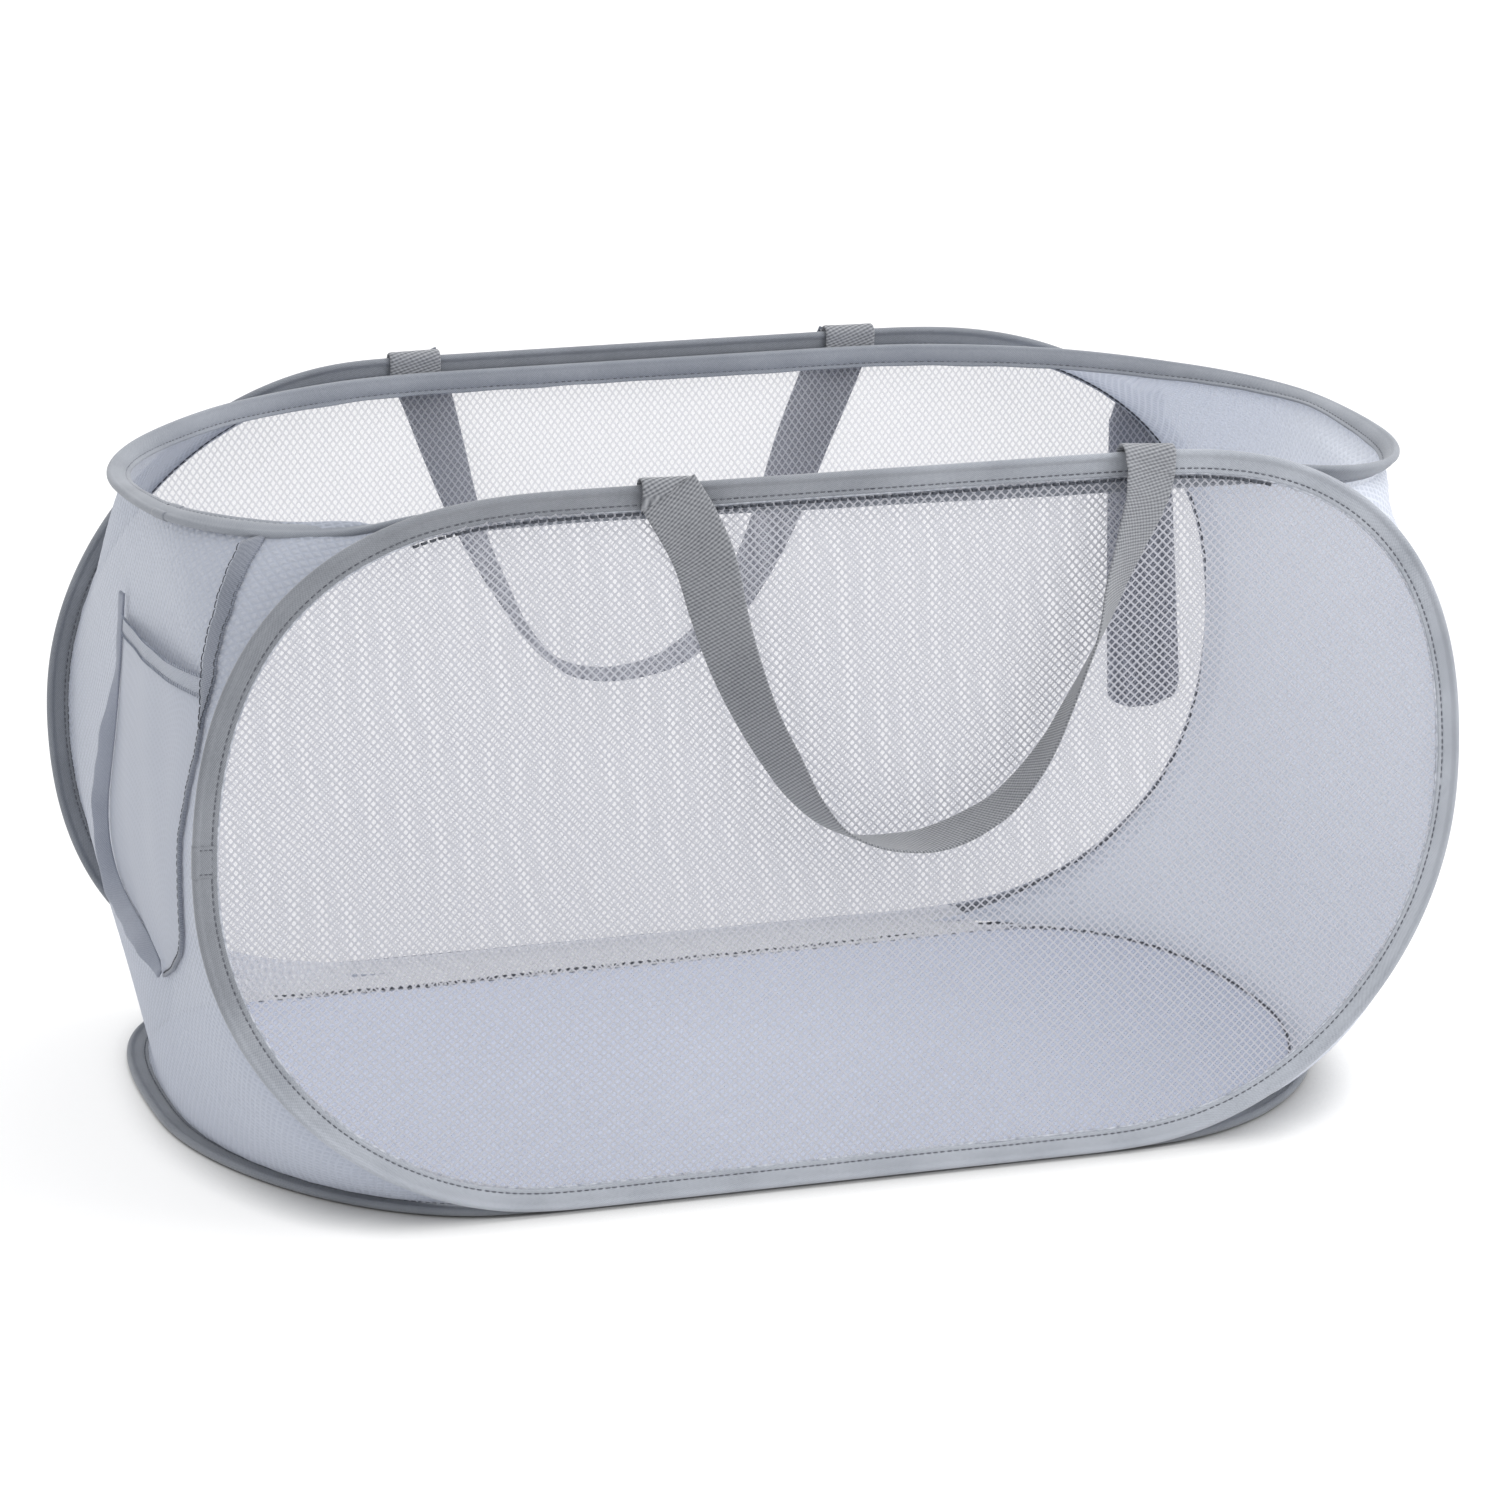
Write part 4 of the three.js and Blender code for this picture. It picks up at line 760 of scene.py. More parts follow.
def end_surface(side):
    corner = 150 if side < 0 else 165
    z_top = TOP_Z - 0.2
    z_ft = 325.0 if side < 0 else z_top
    f2 = end_arc("front", 10.6, side, lambda q: (np.abs(q[:, 0]) > corner - 10) & (q[:, 1] < z_ft))
    k2 = end_arc("back", 10.6, side, lambda q: (np.abs(q[:, 0] - 18) > corner - 10) & (q[:, 1] < z_top))
    ring = OUT["top"]
    nr = normals_in(ring)
    tilt, rise = top_frame(ring, nr)
    T = np.column_stack([ring + nr * (10.6 * np.cos(tilt))[:, None], TOP_Z - 0.4 + rise - 10.6 * np.sin(tilt)])
    T = T[(T[:, 0] * side > 0) & (np.abs(T[:, 0]) > corner - 20)]
    T = T[np.argsort(np.arctan2(T[:, 1] - TOP["cv"], side * (T[:, 0] - TOP["cx"])))]
    b2 = end_arc("bottom", 10.6, side, lambda q: np.abs(q[:, 0] - 10) > corner - 20)
    F = lift("front", f2[:, 0], f2[:, 1], 0.6)
    K = lift("back", k2[:, 0], k2[:, 1], -0.6)
    B = lift("bottom", b2[:, 0], b2[:, 1], 0 * b2[:, 0] + 0.8)
    c_fb, c_kb = (F[0] + B[0]) / 2, (K[0] + B[-1]) / 2
    c_ft = F[-1] + np.array([0, 1.0, 0])
    c_ft[2] = z_ft
    c_kt = K[-1] - np.array([0, 1.0, 0])
    c_kt[2] = z_top
    T = T[np.where(T[:, 1] < -2.2, np.abs(T[:, 0]) > abs(c_ft[0]), np.abs(T[:, 0]) > abs(c_kt[0]))]
    F, K = snap(F, c_fb, c_ft, NE + 1), snap(K, c_kb, c_kt, NE + 1)
    B, T = snap(B, c_fb, c_kb, NE + 1), snap(T, c_ft, c_kt, NE + 1)
    u = np.linspace(0, 1, NE + 1)[:, None]
    v = np.linspace(0, 1, NE + 1)[None, :]
    g = np.zeros((NE + 1, NE + 1, 3))
    for k in (1, 2):
        lu = (1 - v) * B[:, k][:, None] + v * T[:, k][:, None]
        lv = (1 - u) * F[:, k][None, :] + u * K[:, k][None, :]
        bl = (1 - u) * (1 - v) * B[0, k] + u * (1 - v) * B[-1, k] + (1 - u) * v * T[0, k] + u * v * T[-1, k]
        g[..., k] = lu + lv - bl
    A = np.abs
    cb = lambda uu, vv: (1 - uu) * (1 - vv) * A(B[0, 0]) + uu * (1 - vv) * A(B[-1, 0]) + (1 - uu) * vv * A(T[0, 0]) + uu * vv * A(T[-1, 0])
    one = np.linspace(0, 1, NE + 1)
    eB, eT = A(B[:, 0]) - cb(one, 0), A(T[:, 0]) - cb(one, 1)
    eF, eK = A(F[:, 0]) - cb(0, one), A(K[:, 0]) - cb(1, one)
    eu = (1 - v) * eB[:, None] + v * eT[:, None]
    ev = (1 - u) * eF[None, :] + u * eK[None, :]
    emax = max(eB.max(), eT.max(), eF.max(), eK.max())
    x = cb(u, v) + eu + ev - eu * ev / emax
    reach = (1 - u) * A(F[:, 0]).max() + u * A(K[:, 0]).max() + 1.5 - (9.0 if side > 0 else 0.0) * np.sin(math.pi * u) ** 0.7
    held = reach - 4 * np.log1p(np.exp((reach - x) / 4))
    edge = np.minimum(np.minimum(u, 1 - u), np.minimum(v, 1 - v)) + 0 * x
    x = x + (held - x) * smooth01(edge * 12)
    # soft folds where the cloth is gathered
    r = np.random.default_rng(21 if side < 0 else 22)
    fold = np.zeros_like(x)
    for _ in range(10):
        ku, kv = r.integers(1, 6), r.integers(1, 5)
        fold += r.normal() * np.sin(math.pi * ku * u + r.uniform(0, 6)) * np.sin(math.pi * kv * v + r.uniform(0, 6)) / (ku + kv)
    fold = fold / np.abs(fold).max() * 2.2
    fine = 0.5 * np.sin(46 * math.pi * u + 3 * v) * np.exp(-v * 14) + 0.5 * np.sin(40 * math.pi * v + 2 * u) * (
        np.exp(-u * 14) + np.exp(-(1 - u) * 14)
    )
    x = x + (fold * smooth01(edge * 6) + fine * smooth01(edge * 30))
    x = x - 10.0 * smooth01((u - 0.45) / 0.4) * np.exp(-(((v - 0.17) / 0.17) ** 2)) * smooth01(edge * 9)
    if side > 0:
        x = x - 8.0 * np.exp(-(((v - 0.88) / 0.13) ** 2)) * np.exp(-(((u - 0.2) / 0.15) ** 2)) * smooth01(edge * 12)
    g[..., 0] = side * x
    return g


ENDS = {"left": end_surface(-1), "right": end_surface(1)}


def end_uv(g):
    """UVs in metres along the surface, from the middle outwards, so that the net isn't stretched."""
    c = NE // 2
    du = np.linalg.norm(np.diff(g, axis=0), axis=2)
    dv = np.linalg.norm(np.diff(g, axis=1), axis=2)
    U = np.zeros(g.shape[:2])
    V = np.zeros(g.shape[:2])
    U[1:] = np.cumsum(du, axis=0)
    V[:, 1:] = np.cumsum(dv, axis=1)
    U -= U[c][None, :]
    V -= V[:, c][:, None]
    return np.stack([U, V], axis=-1) * 0.001


def gore_faces(which):
    """Grid cells and half cells of one gore, cut along the two diagonals."""
    out = []
    for i in range(NE):
        for j in range(NE):
            for tri in (((i, j), (i + 1, j), (i + 1, j + 1)), ((i, j), (i + 1, j + 1), (i, j + 1))) if (
                (i < NE // 2) == (j < NE // 2)
            ) else (((i, j), (i + 1, j), (i, j + 1)), ((i + 1, j), (i + 1, j + 1), (i, j + 1))):
                cx = sum(t[0] for t in tri) / 3 - NE / 2
                cy = sum(t[1] for t in tri) / 3 - NE / 2
                if abs(cx) > abs(cy):
                    w = "front" if cx < 0 else "back"
                else:
                    w = "bottom" if cy < 0 else "top"
                if w == which:
                    out.append(tri)
    return out


for end in ("left", "right"):
    g = ENDS[end]
    uv = end_uv(g)
    for which in ("bottom", "front", "back", "top"):
        index, verts, uvs, faces = {}, [], [], []
        for tri in gore_faces(which):
            f = []
            for c in tri:
                if c not in index:
                    index[c] = len(verts)
                    verts.append(g[c])
                    uvs.append(uv[c])
                f.append(index[c])
            faces.append(f)
        ob = new_object(f"{end}_end_net_{which}", np.array(verts), faces, uvs, True, M_NET_LEFT_SHADED if end == "left" else M_NET_END)
        a = np.array(verts)[np.array(faces)]
        area = np.linalg.norm(np.cross(a[:, 1] - a[:, 0], a[:, 2] - a[:, 0]), axis=1).sum() / 2 * 1e-6
        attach(ob, which)
        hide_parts(f"{end}_end_gore_{which}")
        long = {"bottom": 0.40, "top": 0.42, "front": 0.36, "back": 0.36}[which]
        wide = max(area / long * 1.9, 0.12)
        joint = {"bottom": "fold", "front": "fold", "back": "fold_back", "top": "fold_top"}[which]
        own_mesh(ob)


# ------------------------------------------------------------------ foot of the back wall
def behind_left_end(g, clear=1.8):
    """Draws in the points that would stand out through the left end's nets."""
    trees = []
    for name in ("left_end_net_back", "left_end_net_bottom"):
        me = bpy.data.objects[name].data
        trees.append(BVHTree.FromPolygons([v.co.copy() for v in me.vertices], [tuple(f.vertices) for f in me.polygons]))
    for p in g.reshape(-1, 3):
        if p[0] > -150:
            continue
        q = place([p[0], p[1], max(p[2], 4.5)])
        for tree in trees:
            hit = tree.ray_cast(Vector((-0.6, q[1], q[2])), Vector((1, 0, 0)))[0]
            if hit is not None:
                p[0] = max(p[0], (hit.x - SHIFT[0]) * 1000 + clear)


def cove():
    """The back wall's net comes forward at its foot to the seam with the floor."""
    xs = np.linspace(-248, 236, 154)
    edge = OUT["bottom"] + normals_in(OUT["bottom"]) * 10.4
    rear = edge[edge[:, 1] > 60]
    rear = rear[np.argsort(rear[:, 0])]
    y_b = np.interp(xs, rear[:, 0], rear[:, 1])
    hoop = OUT["back"] + normals_in(OUT["back"]) * 10.2
    low = hoop[hoop[:, 1] < 60]
    low = low[np.argsort(low[:, 0])]
    z_k = np.interp(xs, low[:, 0], low[:, 1])
    on_back = smooth01((xs + 249) / 14) * smooth01((200 - xs) / 20)
    left = smooth01((-140 - xs) / 40)  # there it lies inside the end net's corner
    y_up = y_b * (1 - on_back) + (172.9 - 6.0 * left) * on_back
    z_up = 3.2 * (1 - on_back) + (z_k + 2.2 + 3.0 * left) * on_back
    cap = foot(xs)
    y_lo = -6 * np.log(np.exp(-np.clip(y_b, 0, None) / 6) + np.exp(-cap / 6))
    rows = []
    for t in np.linspace(0, 1, 9):
        ease = t * (2 - t)
        y = y_lo * (1 - ease) + y_up * ease
        z = 3.0 * (1 - t) + z_up * t - 1.0 * np.sin(math.pi * t) * on_back
        rows.append(np.column_stack([xs, y, np.maximum(z, 2.9 + 2.4 * smooth01(np.full(len(xs), t) / 0.2))]))
    g = np.array(rows)
    behind_left_end(g)
    n, m = g.shape[:2]
    faces = [(i * m + j, i * m + j + 1, (i + 1) * m + j + 1, (i + 1) * m + j) for i in range(n - 1) for j in range(m - 1)]
    uv = np.stack([g[..., 0], np.hypot(g[..., 1] - 174.6, g[..., 2] - 15)], axis=-1) * 0.001
    ob = new_object("back_net_foot", g.reshape(-1, 3), faces, uv.reshape(-1, 2), True, M_NET_COVE)
    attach(ob, "back")
    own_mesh(ob)


cove()


# ------------------------------------------------------------------ seams seen inside
def path3(points, count):
    p = np.asarray(points, float)
    d = np.r_[0, np.cumsum(np.linalg.norm(np.diff(p, axis=0), axis=1))]
    w = np.linspace(0, d[-1], count)
    return np.stack([np.interp(w, d, p[:, k]) for k in range(3)], axis=1)


def smooth_path(points, count, passes=3, window=5):
    p = path3(points, count)
    for _ in range(passes):
        q = np.vstack([np.repeat(p[:1], window, 0), p, np.repeat(p[-1:], window, 0)])
        p = np.stack([np.convolve(q[:, k], np.ones(2 * window + 1) / (2 * window + 1), "valid") for k in range(3)], axis=1)
    return p


def seam(name, pts, out_dir, body, pitch=3.9, length=2.9, radius=0.62, material=None):
    up = np.repeat(np.array([out_dir], float), len(pts), 0) if np.ndim(out_dir) == 1 else out_dir
    ob = thread_run(name, pts, None, None, up, pitch, length, radius, material or M_THREAD, body, 0.15)
    return ob


def hoop_line(kind, inset, w, keep=None):
    p = OUT[kind] + normals_in(OUT[kind]) * inset
    q = lift(kind, p[:, 0], p[:, 1], np.full(len(p), w))
    return q if keep is None else q[keep(q)]


# floor seam: along the back, then round the right end
xs = np.linspace(-206, 228, 120)
floor_back = np.column_stack([xs, foot(xs) - 0.6, np.full(len(xs), 3.3)])
seam("floor_seam_back", floor_back, (0, -0.4, 0.9), "bottom", pitch=4.3, length=3.0, radius=0.95)
ring = hoop_line("bottom", 11.0, 1.3)
right_end = ring[(ring[:, 0] > 205) & (ring[:, 1] > -160)]
right_end = right_end[np.argsort(-right_end[:, 1])]
seam("floor_seam_right", right_end, (-0.4, 0, 0.9), "bottom", radius=0.5)
left_end = ring[(ring[:, 0] < -205) & (ring[:, 1] > -160)]
left_end = left_end[np.argsort(-left_end[:, 1])]
seam("floor_seam_left", left_end, (0.4, 0, 0.9), "bottom", radius=0.4)

# back wall seams: right and left arcs between the mouth and the floor
ring = hoop_line("back", 10.6, -0.9)
arc = ring[(ring[:, 0] > 215) & (ring[:, 2] > 16)]
arc = arc[np.argsort(-np.arctan2(arc[:, 2] - 165, arc[:, 0] - 120))]
tail = np.array([[262, 173, 13], [246, 172.5, 7], [230, 172, 4]])
arc = smooth_path(np.vstack([arc, tail]), 220, 2, 4)
seam("back_seam_right", arc, (-0.5, -0.8, 0.1), "back", radius=0.55)
arc = ring[(ring[:, 0] < -150) & (ring[:, 2] > 16)]
arc = arc[np.argsort(np.arctan2(arc[:, 2] - 165, -(arc[:, 0] + 100)))]
seam("back_seam_left", arc, (0.5, -0.8, 0.1), "back", radius=0.45)

# front wall: pulled holes just under the tape where the mouth's tape lies behind the net
ring = hoop_line("front", 12.9, -0.5)
top_run = ring[(np.abs(ring[:, 0]) < 205) & (ring[:, 2] > 200)]
top_run = top_run[np.argsort(top_run[:, 0])]
seam("front_net_holes", top_run, (0, -1, 0), "front", pitch=3.9, length=2.9, radius=0.66)


# ------------------------------------------------------------------ webbing
def catmull(points, count):
    p = np.asarray(points, float)
    d = np.r_[0, np.cumsum(np.linalg.norm(np.diff(p[:, :3], axis=0), axis=1))]
    w = np.linspace(0, d[-1], count)
    tang = np.gradient(p, d, axis=0)
    out = []
    for x in w:
        i = min(max(int(np.searchsorted(d, x, side="right")) - 1, 0), len(p) - 2)
        h = d[i + 1] - d[i]
        t = (x - d[i]) / h
        out.append(
            (2 * t**3 - 3 * t**2 + 1) * p[i]
            + (t**3 - 2 * t**2 + t) * h * tang[i]
            + (-2 * t**3 + 3 * t**2) * p[i + 1]
            + (t**3 - t**2) * h * tang[i + 1]
        )
    return np.array(out)


def ribbon(name, A, B, thick, material, body, crown=0.0, uv_scale=1.0):
    """A strip of webbing between two edge curves, with rounded selvedges."""
    A, B = np.asarray(A, float), np.asarray(B, float)
    mid = (A + B) / 2
    t = np.gradient(mid, axis=0)
    t /= np.linalg.norm(t, axis=1)[:, None]
    w = B - A
    n = np.cross(t, w)
    n /= np.linalg.norm(n, axis=1)[:, None]
    across = np.array([0.0, 0.02, 0.06, 0.14, 0.26, 0.38, 0.5, 0.62, 0.74, 0.86, 0.94, 0.98, 1.0])
    half = np.minimum(1, np.sqrt(np.clip(1 - (np.clip((0.06 - across) / 0.06, 0, 1)) ** 2, 0, 1)))
    half = np.minimum(half, np.sqrt(np.clip(1 - (np.clip((across - 0.94) / 0.06, 0, 1)) ** 2, 0, 1)))
    half *= thick / 2
    lift_ = crown * np.sin(math.pi * across)
    topside = A[:, None] + w[:, None] * across[None, :, None] + n[:, None] * (lift_ + half)[None, :, None]
    under = A[:, None] + w[:, None] * across[None, ::-1, None] + n[:, None] * (lift_ - half)[::-1][None, :, None]
    rings = np.concatenate([topside, under[:, 1:-1]], axis=1)
    d = np.r_[0, np.cumsum(np.linalg.norm(np.diff(mid, axis=0), axis=1))] * 0.001
    width = np.linalg.norm(w, axis=1).mean() * 0.001
    v = np.r_[across * width, width + (1 - across[::-1][1:-1]) * width + 0.0001, 2 * width]
    ob = sweep_object(name, rings, d * uv_scale, v, False, material, body)
    return ob


def wall_y(z, side):
    """The outer face of the wall's net, just clear of it."""
    if side < 0:
        return FRONT_Y - math.sin(LEAN) * (z - FRONT_PIVOT[1]) - 1.3
    return BACK_Y + 1.3


def hanging(name, edge, side, body, width=28.5):
    """Handle webbing that hangs in a loop. edge holds x, z of its outer edge, that stays near the
    wall, and how far the webbing has turned away from lying flat on it, in degrees."""
    rows = []
    for x, z, turn in edge:
        off = 1.8 * smooth01((z - 300) / 14)
        rows.append([x, wall_y(z, side) + side * off, z, turn])
    c = catmull(rows, 150)
    A = c[:, :3]
    turn = np.radians(c[:, 3])
    t = np.gradient(A, axis=0)
    t[:, 1] = 0
    t /= np.linalg.norm(t, axis=1)[:, None]
    inward = np.column_stack([-t[:, 2], 0 * t[:, 0], t[:, 0]])
    w = inward * np.cos(turn)[:, None] + np.array([0, side, 0.0])[None] * np.sin(turn)[:, None]
    B = A + w * width
    return A, B


FRONT_EDGE = [
    (-100.4, 329.6, 4), (-93.3, 318, 10), (-84.9, 302.9, 24), (-75.9, 275.7, 40), (-66.8, 251.5, 48), (-55.8, 229.3, 56),
    (-43.6, 209.1, 61), (-28.6, 189, 71), (-12.2, 175.2, 80), (4.3, 168.9, 85), (19.3, 168.2, 91), (33.5, 168.9, 94),
    (45.5, 172.1, 95.5), (57.6, 176.8, 94), (67.8, 181.7, 91), (77.9, 189.9, 87.5), (87.9, 200.5, 83.5), (95.9, 210.9, 79),
    (103.1, 223.1, 75), (113.2, 240, 68), (120.7, 253.3, 63), (127.7, 266.4, 54), (132.7, 277.5, 47), (137.8, 287.6, 41),
    (143, 297.4, 34), (147.7, 307, 28), (151.9, 317.6, 22), (154.5, 329, 17),
]
BACK_EDGE = [
    (-120.2, 318, 6), (-113.3, 302, 14), (-103.4, 276.2, 26), (-91.6, 247.4, 40), (-78.7, 221.6, 54), (-62, 194.8, 66),
    (-42.3, 168, 78), (-24.5, 154.7, 86), (-6.8, 150.7, 90), (11, 151.2, 92), (29.7, 155.1, 91), (48.5, 165, 87),
    (67.2, 180.8, 78), (84, 204.4, 66), (98.9, 233.1, 53), (110.8, 261.7, 40), (122.7, 288.4, 26), (130.6, 306.2, 15),
    (135.1, 317, 8),
]
A, B = hanging("front_handle_webbing", FRONT_EDGE, -1, "front_handle")
front_web = ribbon("front_handle_webbing", A, B, 1.3, M_WEB, "front_handle")
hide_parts("front_handle")
front_ends = (A[0], B[0]), (A[-1], B[-1])
A, B = hanging("back_handle_webbing", BACK_EDGE, 1, "back_handle")
back_web = ribbon("back_handle_webbing", A, B, 1.3, M_WEB_BACK_SHADED, "back_handle")
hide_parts("back_handle")
back_ends = (A[0], B[0]), (A[-1], B[-1])
for web, anchor_y, joint in ((front_web, -178.0, "fold"), (back_web, 177.0, "fold_back")):
    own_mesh(web)


def hoop_z(kind, x):
    p = OUT[kind]
    top = p[p[:, 1] > HOOPS[kind]["cv"]]
    top = top[np.argsort(top[:, 0])]
    return float(np.interp(x, top[:, 0], top[:, 1]))


def handle_end(name, kind, ends, side, lifted, node, stitches=True):
    """The webbing's end, turned over the hoop. lifted says how far each edge stands off."""
    a0, b0 = ends
    edges = []
    for p, off in ((a0, lifted[0]), (b0, lifted[1])):
        x = p[0]
        crest = hoop_z(kind, x)
        plane = (FRONT_Y - math.sin(LEAN) * (crest - FRONT_PIVOT[1])) if side < 0 else BACK_Y
        out_y, in_y = p[1], plane - side * 3.2
        rise = 2.0 + 0.35 * off
        pts = [(x, in_y, crest - 12.5), (x, in_y - side * 0.1, crest - 6), (x, in_y - side * 0.3, crest - 1.5)]
        for k in range(1, 8):
            a = math.pi * k / 8
            mid = (in_y - side * 0.3 + plane + side * (3.0 + off)) / 2
            rad = abs((plane + side * (3.0 + off)) - (in_y - side * 0.3)) / 2
            pts.append((x, mid - side * rad * math.cos(a), crest - 1.5 + (rise + 1.5) * math.sin(a)))
        pts += [(x, plane + side * (3.1 + off), crest - 2.5), (x, (plane + side * (3.1 + off) + out_y) / 2, (crest - 2.5 + p[2]) / 2), (x, out_y, p[2] - 1.2)]
        edges.append(smooth_path(pts, 46, 1, 1))
    ob = ribbon(name, edges[0], edges[1], 1.35, M_WEB, kind)
    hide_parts(node)
    return ob


handle_end("front_handle_end_left", "front", front_ends[0], -1, (2.6, 0.4), "front_handle_loop_left")
handle_end("front_handle_end_right", "front", front_ends[1][::1], -1, (0.4, 5.5), "front_handle_loop_right")
handle_end("back_handle_end_left", "back", back_ends[0], 1, (0.6, 1.2), "back_handle_loop_left")
handle_end("back_handle_end_right", "back", back_ends[1], 1, (0.6, 1.4), "back_handle_loop_right")


# ------------------------------------------------------------------ closure strap behind the back net
def plate(name, outline_xz, y, thick, material, body, bow=0.0):
    """A flat strip of strap given by rows of left and right x against z."""
    rows = np.asarray(outline_xz, float)
    z, xl, xr = rows[:, 0], rows[:, 1], rows[:, 2]
    zz = np.linspace(z[0], z[-1], 40)
    s = (zz - z[0]) / (z[-1] - z[0])
    left = np.interp(s, (z - z[0]) / (z[-1] - z[0]), xl)
    right_ = np.interp(s, (z - z[0]) / (z[-1] - z[0]), xr)
    yy = y + bow * np.sin(math.pi * s)
    ob = ribbon(name, np.column_stack([left, yy, zz]), np.column_stack([right_, yy, zz]), thick, material, body)
    return ob


strap = plate(
    "closure_strap_webbing",
    [(269.7, 268.3, 300), (253.4, 268.5, 303), (223.8, 268.9, 305.8), (184.4, 269.6, 308.5), (145, 270.6, 311), (126, 271.0, 312), (121, 271.4, 311.2), (117.5, 272.8, 309.2), (115, 275.2, 306.4), (113.4, 278.6, 302.4), (112.8, 283, 297.6)],
    BACK_Y + 4.0, 1.6, M_STRAP, "closure_strap", bow=1.0,
)
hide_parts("closure_strap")
patch = plate("closure_hook_tape", [(155, 277, 304.3), (127.4, 277.7, 305.6)], BACK_Y + 5.7, 0.9, M_HOOK, "closure_strap")
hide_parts("closure_hook_patch")
tab = plate("closure_strap_end", [(hoop_z("back", 284) - 0.5, 273, 298), (269.5, 268.5, 300)], BACK_Y + 3.6, 1.6, M_STRAP, "back")
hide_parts("closure_strap_tab")

# ------------------------------------------------------------------ end pocket
g = ENDS["left"]
_v = [tuple(p) for p in g.reshape(-1, 3)]
_m = NE + 1
_f = [(i * _m + j, i * _m + j + 1, (i + 1) * _m + j + 1, (i + 1) * _m + j) for i in range(NE) for j in range(NE)]
LEFT = BVHTree.FromPolygons(_v, _f)


def end_x(y, z):
    hit = LEFT.ray_cast(Vector((-500, y, z)), Vector((1, 0, 0)))
    if hit[0] is None:
        near = LEFT.find_nearest(Vector((-290, y, z)))
        return near[0].x
    return hit[0].x


# The pouch lies on the end wall between a seam rolled along its front edge and a binding that
# stands out along its back edge and foot. Each path is y and z on the wall.
ROLL = [(-141, 318), (-145.5, 312), (-149, 304), (-153, 290), (-156.5, 273.2), (-158, 258), (-155.5, 243), (-149, 230), (-134, 210), (-121.3, 193), (-112, 178), (-107.1, 166), (-105.4, 154), (-105.1, 143.5), (-104.4, 132), (-101.5, 122), (-92.2, 112), (-80, 104), (-66, 97), (-53.6, 91.6)]
BIND = [(0.5, 262), (3, 252), (7.5, 236), (13.5, 220), (19.8, 204.6), (29, 188), (39, 173), (49.5, 158), (57, 146), (61.3, 132.8), (60.6, 123), (53.4, 114.5), (38, 108), (18, 105), (-0.8, 103.4), (-26, 101.5), (-44, 98), (-53.6, 92.6)]


def on_wall(path, count):
    return catmull([(0.0, y, z) for y, z in path], count)


ROLL_LINE, BIND_LINE = on_wall(ROLL, 130), on_wall(BIND, 130)


def edge_y(line, z):
    """The y of an edge at a height, above its lowest point."""
    q = line[np.argsort(line[:, 2])]
    return np.interp(z, q[:, 2], q[:, 1])


BIND_SIDE = BIND_LINE[: int(np.argmax(BIND_LINE[:, 1])) + 1]
BIND_FOOT = BIND_LINE[int(np.argmax(BIND_LINE[:, 1])) :]


def pouch_edges(z):
    yf = edge_y(ROLL_LINE, z)
    yb = edge_y(BIND_SIDE, z) if z >= BIND_SIDE[-1, 2] else edge_y(BIND_FOOT, z)
    return yf, max(yb, yf + 0.5)


def hem_top(t):
    return 261.2 - 10.6 * t


def pouch_point(t, z, stand):
    yf, yb = pouch_edges(z)
    y = yf + (yb - yf) * t
    return np.array([end_x(y, z) - stand, y, z])


def pocket_grid(s0, s1, ns, nt, out):
    """s runs from the tip at the foot to the hem's edge, t from the front edge to the back one."""
    g = np.zeros((ns, nt, 3))
    for i, s_ in enumerate(np.linspace(s0, s1, ns)):
        for j, t in enumerate(np.linspace(0, 1, nt)):
            z = 92.6 + s_ * (hem_top(t) - 92.6)
            belly = math.sin(math.pi * t) ** 0.8
            ripple = 0.55 * math.sin(8 * t + z * 0.045) + 0.35 * math.sin(17 * t - z * 0.06)
            stand = 1.3 + belly * (1.0 + 3.6 * smooth01(s_) + ripple)
            g[i, j] = pouch_point(t, z, stand + out)
    return g


def grid_object(name, g, material, body):
    n, m = g.shape[:2]
    faces = [(i * m + j, i * m + j + 1, (i + 1) * m + j + 1, (i + 1) * m + j) for i in range(n - 1) for j in range(m - 1)]
    du = np.zeros((n, m))
    dv = np.zeros((n, m))
    du[:, 1:] = np.cumsum(np.linalg.norm(np.diff(g, axis=1), axis=2), axis=1)
    dv[1:] = np.cumsum(np.linalg.norm(np.diff(g, axis=0), axis=2), axis=0)
    du -= du[:, m // 2][:, None]
    uv = np.stack([du, dv], axis=-1) * 0.001
    ob = new_object(name, g.reshape(-1, 3), faces, uv.reshape(-1, 2), True, material)
    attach(ob, body)
    area = np.linalg.norm(np.cross(g[1:, :-1] - g[:-1, :-1], g[:-1, 1:] - g[:-1, :-1]), axis=2).sum() * 1e-6
    return ob, area


pg = pocket_grid(0.0, 0.97, 46, 34, 0.0)
pouch, pouch_area = grid_object("end_pocket_net", pg, M_POCKET, "bottom")
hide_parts("pocket_mesh_panel")
hem = pocket_grid(0.935, 1.0, 7, 60, 0.7)
hem_ob, hem_area = grid_object("end_pocket_hem", hem, M_HEM, "bottom")
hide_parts("pocket_hem")
POCKET_PARTS = [pouch, hem_ob]


